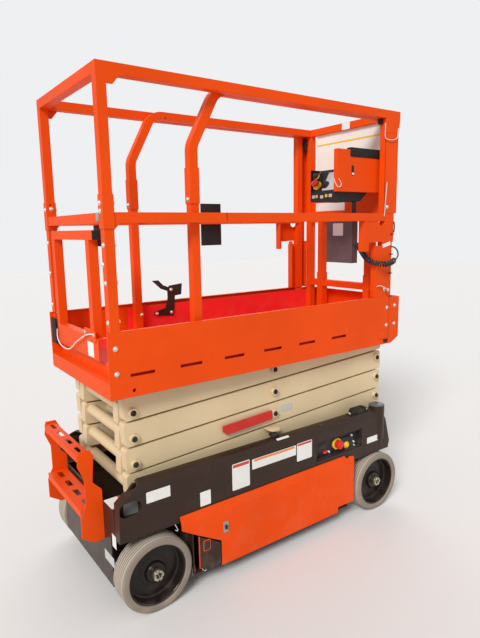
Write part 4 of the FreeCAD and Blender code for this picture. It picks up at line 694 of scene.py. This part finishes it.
red_plastic = coated("red_plastic", (0.62, 0.020, 0.018), dust=0.08, low=0.1, high=0.6, rough=0.38, coat=0.2,
                     wear=0.0)
yellow_plastic = coated("yellow_plastic", (0.82, 0.50, 0.03), dust=0.10, low=0.1, high=0.6, rough=0.42,
                        coat=0.1, wear=0.0)
white_plastic = coated("white_plastic", (0.76, 0.75, 0.71), dust=0.10, low=0.1, high=0.6, rough=0.42,
                       coat=0.1, wear=0.0)
panel_y = -0.361
stop_x, stop_z = 0.4185, 0.446
mushroom_rings = [(0.0206, -0.012), (0.0206, 0.004), (0.0222, 0.006), (0.0234, 0.009), (0.0236, 0.013),
                  (0.0224, 0.0175), (0.0180, 0.0210), (0.0100, 0.0232), (0.0004, 0.0240)]
mushroom = finish_piece(turned("stop_button", mushroom_rings, segments=40), red_plastic, angle=30)
guard_rings = [(0.0300, -0.003), (0.0300, 0.0060), (0.0280, 0.0080), (0.0226, 0.0080), (0.0212, 0.0060),
               (0.0212, -0.003), (0.0300, -0.003)]
stop_guard = finish_piece(turned("stop_guard", guard_rings, segments=40), yellow_plastic, angle=30)
put_each(mushroom, [("chassis", (stop_x, panel_y - 0.015, stop_z), near_way, 0)])
put_each(stop_guard, [("chassis", (stop_x, panel_y, stop_z), near_way, 0)])
key_rings = [(0.0190, 0.0), (0.0190, 0.006), (0.0170, 0.008), (0.0100, 0.009), (0.0090, 0.014),
             (0.0075, 0.0155), (0.0004, 0.0155)]
key_switch = finish_piece(turned("key_switch", key_rings, segments=32), yellow_plastic, angle=30)
put_each(key_switch, [("chassis", (0.490, panel_y, 0.420), near_way, 0)])
rocker = slab("rocker_switch", wide=0.026, high=0.016, thick=0.008, corner=0.003, dish=0.0015)
finish_piece(rocker, red_plastic)
put_each(rocker, [("chassis", (0.332, panel_y, 0.421), near_way, 0)])
lever_cap = slab("lever_cap", wide=0.007, high=0.011, thick=0.012, corner=0.002)
finish_piece(lever_cap, white_plastic)
put_each(lever_cap, [("chassis", (x, panel_y, z), near_way, 25)
                     for x, z in ((0.527, 0.467), (0.543, 0.427), (0.548, 0.404), (0.358, 0.418))])
panel_plate = slab("panel_plate", wide=0.150, high=0.070, thick=0.002, corner=0.006)
finish_piece(panel_plate, moulded)
put_each(panel_plate, [("chassis", (0.470, panel_y - 0.0002, 0.430), near_way, 0)])

# Tray doors, springs and hooks
# Each tray door has a grey sliding latch with a dark grip. The plate beside the door has a lifting hole and
# a folded edge, and a dark plate in the hole is painted shade of its inside. A brown steering arm shows past
# the door's far end, and a spring and two wire hooks on the near side hold the pothole guard up.

door_y = 0.398
latch_plate = slab("door_latch", wide=0.026, high=0.052, thick=0.004, corner=0.005, dish=0.0012)
finish_piece(latch_plate, latch_grey)
latch_grip = slab("door_latch_grip", wide=0.010, high=0.020, thick=0.006, corner=0.003)
bpy.ops.mesh.select_all(action="SELECT")
bpy.ops.transform.translate(value=(0, 0, 0.0035))
finish_piece(latch_grip, moulded)
latch_spots = [(f"door_{side}", (-0.3165, hand * door_y, 0.256), (0, hand, 0), 0)
               for side, hand in (("right", -1), ("left", 1))]
put_each(latch_plate, latch_spots)
put_each(latch_grip, latch_spots)


def wire(name, points, finish, body, radius):
    """A bent wire or thin cable along its points."""
    piece = cord_curve(name, points)
    piece.data.bevel_depth = radius
    piece.data.bevel_resolution = 2
    piece.data.use_fill_caps = True
    piece.data.materials.append(finish)
    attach(piece, body)
    return piece


steel_wire = coated("zinc_wire", (0.66, 0.64, 0.58), dust=0.10, low=0.1, high=1.2, rough=0.35, coat=0.0,
                    wear=0.0)
hook_lines = [("wire_hook_rear", [(-0.566, -0.380, 0.356), (-0.560, -0.388, 0.340), (-0.552, -0.390, 0.322),
                                  (-0.556, -0.386, 0.316), (-0.562, -0.382, 0.322)]),
              ("wire_hook_low", [(-0.447, -0.392, 0.106), (-0.440, -0.396, 0.092), (-0.428, -0.396, 0.082),
                                 (-0.422, -0.394, 0.090), (-0.426, -0.390, 0.100)])]
for name, line in hook_lines:
    wire(name, line, steel_wire, "chassis", radius=0.0016)
spring_foot = Vector((-0.4755, -0.372, 0.072))
spring_r, spring_high = 0.0085, 0.040
spring_turns, spring_corners = 9, 8
spring_points = []
for step in range(spring_turns * spring_corners + 1):
    angle = math.tau * step / spring_corners
    rise = spring_high * step / (spring_turns * spring_corners)
    spring_points.append(spring_foot + Vector((spring_r * math.cos(angle), spring_r * math.sin(angle), rise)))
wire("tray_spring", spring_points, steel_wire, "chassis", radius=0.0013)
lifting_rim = slab("lifting_hole_rim", wide=0.038, high=0.052, thick=0.0010, corner=0.010)
finish_piece(lifting_rim, orange)
# The dark plate inside the lifting hole is painted shade of the hole's inside.
lifting_hole = slab("lifting_hole", wide=0.031, high=0.045, thick=0.0016, corner=0.008)
finish_piece(lifting_hole, moulded)
plate_spots = [("chassis", (-0.418, hand * door_y, 0.205), (0, hand, 0), 0) for hand in (-1, 1)]
put_each(lifting_rim, plate_spots)
put_each(lifting_hole, plate_spots)
for name, hand in (("right", -1), ("left", 1)):
    low_y, high_y = sorted((hand * 0.396, hand * 0.3988))
    settle(block(f"plate_edge_{name}", (-0.4585, low_y, 0.106), (-0.4535, high_y, 0.258), ease=0.0008),
           orange, "chassis")
for name, hand in (("right", -1), ("left", 1)):
    low_y, high_y = sorted((hand * 0.250, hand * 0.262))
    settle(block(f"steer_arm_{name}", (0.560, low_y, 0.330), (0.700, high_y, 0.352), ease=0.002), brown,
           "chassis")

# Upper control station
# The moulded box hangs on the mid bar. It has a red stop mushroom on a yellow base, a joystick, a grey face
# plate and a row of small switches. An orange sheet cover stands at its near side, with a rubber pad, a
# keyhole and a wire.

lean = (-0.864, 0, 0.504)
put_button = turned("platform_stop", [(0.0090, -0.004), (0.0090, 0.012), (0.0190, 0.014), (0.0230, 0.017),
                                      (0.0240, 0.021), (0.0225, 0.026), (0.0170, 0.0300), (0.0090, 0.0325),
                                      (0.0004, 0.0335)], segments=40)
finish_piece(put_button, red_plastic, angle=30)
put_each(put_button, [("extension", (0.500, -0.124, 1.790), lean, 0)])
stop_base = turned("platform_stop_base", [(0.0270, 0.0), (0.0270, 0.008), (0.0250, 0.0105), (0.0120, 0.0115),
                                          (0.0004, 0.0115)], segments=40)
finish_piece(stop_base, yellow_plastic, angle=30)
put_each(stop_base, [("extension", (0.499, -0.127, 1.7845), lean, 0)])
stick_foot = (0.500, -0.186, 1.784)
stick = turned("joystick", [(0.0210, 0.0), (0.0210, 0.003), (0.0170, 0.008), (0.0180, 0.012), (0.0135, 0.017),
                            (0.0140, 0.021), (0.0090, 0.026), (0.0080, 0.052), (0.0120, 0.057),
                            (0.0150, 0.068), (0.0145, 0.088), (0.0100, 0.096), (0.0004, 0.098)], segments=32)
finish_piece(stick, moulded, angle=35)
put_each(stick, [("extension", stick_foot, lean, 0)])
stick_ring = turned("joystick_ring", [(0.0152, 0.074), (0.0158, 0.075), (0.0158, 0.079), (0.0150, 0.080),
                                      (0.0145, 0.079), (0.0145, 0.075), (0.0152, 0.074)], segments=32)
finish_piece(stick_ring, yellow_plastic, angle=35)
put_each(stick_ring, [("extension", stick_foot, lean, 0)])
face_plate = slab("station_face_plate", wide=0.086, high=0.108, thick=0.0015, corner=0.006)
finish_piece(face_plate, label_silver)
put_each(face_plate, [("extension", (0.5105, -0.214, 1.8025), lean, 0)])
toggle_x = 0.477
toggle = slab("station_toggle", wide=0.013, high=0.016, thick=0.006, corner=0.003, dish=0.0008)
finish_piece(toggle, yellow_plastic)
put_each(toggle, [("extension", (toggle_x, y, 1.7280), rear_way, 0) for y in (-0.143, -0.213)])
toggle_plate = slab("station_toggle_plate", wide=0.022, high=0.016, thick=0.0012, corner=0.002)
finish_piece(toggle_plate, label_silver)
put_each(toggle_plate, [("extension", (toggle_x, y, z), rear_way, 0)
                        for y, z in ((-0.117, 1.727), (-0.178, 1.724), (-0.240, 1.728))])
cheek_bolt = turned("cheek_bolt", [(0.006, 0.0), (0.006, 0.003), (0.004, 0.004), (0.0004, 0.004)],
                    segments=20)
finish_piece(cheek_bolt, zinc, angle=30)
put_each(cheek_bolt, [("extension", (0.540, -0.100, 1.852), near_way, 0)])
settle(block("station_leg", (0.612, -0.268, 1.640), (0.640, -0.262, 1.704), ease=0.002), moulded, "extension")
settle(block("shield_pad", (0.555, -0.306, 1.918), (0.800, -0.272, 1.964), ease=0.006), dark_rubber,
       "extension")
keyhole = slab("shield_keyhole", wide=0.018, high=0.052, thick=0.0008, corner=0.0085)
finish_piece(keyhole, moulded)
put_each(keyhole, [("extension", (0.574, -0.300, 1.8505), near_way, 0)])
key_end = slab("shield_keyhole_peg", wide=0.013, high=0.011, thick=0.0050, corner=0.004)
finish_piece(key_end, white_plastic)
put_each(key_end, [("extension", (0.574, -0.300, 1.8340), near_way, 0)])
wire("shield_wire", [(0.463, -0.276, 1.812), (0.461, -0.286, 1.790), (0.462, -0.302, 1.768),
                     (0.478, -0.303, 1.764), (0.491, -0.303, 1.775), (0.486, -0.303, 1.790),
                     (0.470, -0.303, 1.806)], steel_wire, "extension", radius=0.0022)

# Front frame details
# Dark latches lock the folding side rails to the front frame, a lock pin hangs in a wire loop, and cable
# ties hold a thin cable on the near column, whose seam is a dark line. Orange stops and dark hooks end the
# travel of the sliding deck.

for name, low, high, ease in (
    ("column_seam", (0.7560, -0.3566, 1.640), (0.7578, -0.3550, 2.040), 0.0003),
    ("far_column_seam", (0.7560, 0.3550, 1.640), (0.7578, 0.3566, 2.040), 0.0003),
    ("near_rail_latch", (0.742, -0.336, 2.086), (0.757, -0.312, 2.114), 0.003),
    ("far_rail_latch", (0.800, 0.300, 2.048), (0.822, 0.318, 2.100), 0.004),
    ("far_rail_latch_foot", (0.803, 0.296, 2.030), (0.816, 0.312, 2.050), 0.003),
):
    settle(block(name, low, high, ease), moulded, "platform")
wire("rail_pin_loop", [(0.744, -0.362, 2.086), (0.742, -0.364, 2.040), (0.740, -0.364, 2.010),
                       (0.790, -0.364, 2.006), (0.836, -0.364, 2.016), (0.842, -0.364, 2.036),
                       (0.846, -0.362, 2.070)], steel_wire, "platform", radius=0.0022)
wire("column_cable", [(0.772, -0.3585, 1.795), (0.768, -0.3585, 1.740), (0.762, -0.3588, 1.690),
                      (0.758, -0.3585, 1.620)],
     steel_wire, "platform", radius=0.0022)
wire("edge_cable", [(0.839, -0.3566, 1.592), (0.843, -0.3580, 1.574), (0.843, -0.3580, 1.552),
                    (0.840, -0.3566, 1.534)],
     pvc, "platform", radius=0.0034)
cable_tie = block("cable_tie", (0.816, -0.3606, -0.0025), (0.842, -0.3536, 0.0025), ease=0.0010)
finish_piece(cable_tie, moulded)
put_each(cable_tie, [("platform", (dx, 0, z), None, 0)
                     for dx, z in ((0.0, 1.526), (-0.006, 1.419), (-0.008, 1.317))])
lock_pin = turned("lock_pin", [(0.0110, 0.0), (0.0110, 0.003), (0.0060, 0.005), (0.0055, 0.020),
                               (0.0085, 0.022), (0.0085, 0.028), (0.0004, 0.030)], segments=24)
finish_piece(lock_pin, zinc, angle=30)
put_each(lock_pin, [("platform", (0.774, hand * side_y, 1.232), (0, hand, 0), 0) for hand in (-1, 1)])
wire("lock_pin_wire", [(0.774, -0.384, 1.232), (0.760, -0.382, 1.240), (0.740, -0.374, 1.252),
                       (0.722, -0.362, 1.258), (0.712, -0.358, 1.250)], steel_wire, "platform", radius=0.0020)
for name, hand in (("near", -1), ("far", 1)):
    low_y, high_y = sorted((hand * 0.3555, hand * 0.3600))
    settle(block(f"slide_stop_{name}", (0.742, low_y, 0.957), (0.806, high_y, 1.001), ease=0.002), orange,
           "platform")
    low_y, high_y = sorted((hand * 0.3520, hand * 0.3600))
    settle(block(f"slide_hook_{name}", (0.780, low_y, 0.936), (0.812, high_y, 0.957), ease=0.003), moulded,
           "platform")

# Gate details
# A rubber plug closes the end of the gate's top tube, a dark latch plate hangs beside it, and a bolted
# plate on the panel holds a thin white lanyard. A rubber pad cushions the gate, and a dark block at the far
# rear corner is painted shade of the far skirt's rear end. Small dark plates are painted shade in the holes
# of the rails, and thin dark plates mark the rails' seams.

settle(block("gate_plug", (-0.7865, -0.2330, 1.5360), (-0.7495, -0.2255, 1.5725), ease=0.003), dark_rubber,
       "gate")
settle(block("gate_latch_plate", (-0.7490, -0.222, 1.510), (-0.7440, -0.150, 1.592), ease=0.002), moulded,
       "gate")
latch_mount = slab("gate_latch_mount", wide=0.130, high=0.052, thick=0.004, corner=0.014)
finish_piece(latch_mount, orange)
put_each(latch_mount, [("gate", (-0.787, -0.145, 1.152), rear_way, 0)])
gate_bolt = turned("gate_bolt", [(0.0080, 0.0), (0.0080, 0.0014), (0.0060, 0.0030), (0.0030, 0.0044),
                                 (0.0004, 0.0046)], segments=20)
finish_piece(gate_bolt, zinc, angle=40)
put_each(gate_bolt, [("gate", (-0.791, y, 1.160), rear_way, 0) for y in (-0.096, -0.192)])
wire("gate_lanyard", [(-0.793, -0.196, 1.164), (-0.800, -0.140, 1.158), (-0.801, -0.086, 1.136),
                      (-0.800, 0.000, 1.102), (-0.799, 0.063, 1.067), (-0.798, 0.110, 1.050),
                      (-0.798, 0.180, 1.046), (-0.798, 0.240, 1.058), (-0.798, 0.271, 1.085),
                      (-0.793, 0.274, 1.120)], white_plastic, "gate", radius=0.0026)
settle(block("post_bumper", (-0.7930, -0.3200, 1.604), (-0.7855, -0.2960, 1.636), ease=0.003), latch_grey,
       "platform")
# A dark block at the far rear corner is painted shade of the far skirt's rear end.
settle(block("corner_shade_block", (-0.7960, 0.2930, 1.045), (-0.7855, 0.3520, 1.165), ease=0.004), dark_rubber,
       "platform")
wire("gate_pin_rod", [(-0.775, 0.352, 1.191), (-0.775, 0.320, 1.1915), (-0.775, 0.292, 1.191)], steel_wire,
     "platform", radius=0.0034)
# Small dark discs are painted shade inside the holes of the rail tubes.
tube_hole_shade = slab("tube_hole_shade", wide=0.008, high=0.008, thick=0.0004, corner=0.0039)
finish_piece(tube_hole_shade, moulded)
hole_spots = [(body, (x, hand * y, z), (0, -hand, 0), 0)
              for body, x, y, z in (("extension", -0.180, 0.272, 2.125), ("platform", -0.772, 0.315, 1.690))
              for hand in (-1, 1)]
put_each(tube_hole_shade, hole_spots)
rail_seam = slab("rail_seam", wide=0.0030, high=0.0330, thick=0.0004, corner=0)
finish_piece(rail_seam, moulded)
put_each(rail_seam, [("platform", (-0.245, hand * 0.3558, 1.6180), (0, hand, 0), 0) for hand in (-1, 1)])

# Ladder treads
# A pressed tread plate is plug-welded over each slotted step. Four short slots in a row give grip and
# drainage, so that boots find a flat and nearly closed surface.

slot_count = 4
slot_half_y = 0.030
tread_half_y = 0.2165
tread_thick = 0.0020


def tread_plate(name, x0, x1, z, slot_half_x):
    """A plate with a row of slots: a grid, its lines moved to the slots' edges, without the slots' faces."""
    columns, rows = 3, 2 * slot_count + 1
    plate = open_primitive("grid", name, x_subdivisions=columns, y_subdivisions=rows, size=2)
    middle = (x0 + x1) / 2
    x_lines = [x0, middle - slot_half_x, middle + slot_half_x, x1]
    y_lines = [-tread_half_y]
    for slot in range(slot_count):
        centre = -tread_half_y + 2 * tread_half_y * (slot + 0.5) / slot_count
        y_lines += [centre - slot_half_y, centre + slot_half_y]
    y_lines.append(tread_half_y)
    sheet = bmesh.from_edit_mesh(plate.data)
    for corner in sheet.verts:
        column = round((corner.co.x + 1) * columns / 2)
        row = round((corner.co.y + 1) * rows / 2)
        corner.co = (x_lines[column], y_lines[row], z)
    for face in sheet.faces:
        at = face.calc_center_median()
        row = sum(at.y > line for line in y_lines) - 1
        face.select_set(abs(at.x - middle) < slot_half_x and row % 2 == 1)
    bpy.ops.mesh.delete(type="FACE")
    bpy.ops.mesh.select_all(action="SELECT")
    bpy.ops.mesh.extrude_region_move(TRANSFORM_OT_translate={"value": (0, 0, tread_thick)})
    return settle(plate, orange, "chassis")


tread_plate("ladder_tread_top", x0=-0.9015, x1=-0.8525, z=0.6882, slot_half_x=0.0085)
tread_plate("ladder_tread_low", x0=-0.9015, x1=-0.8150, z=0.4502, slot_half_x=0.0110)

# Colours out
# The view transform leaves the colours as they are.

scene.view_settings.view_transform = "Standard"
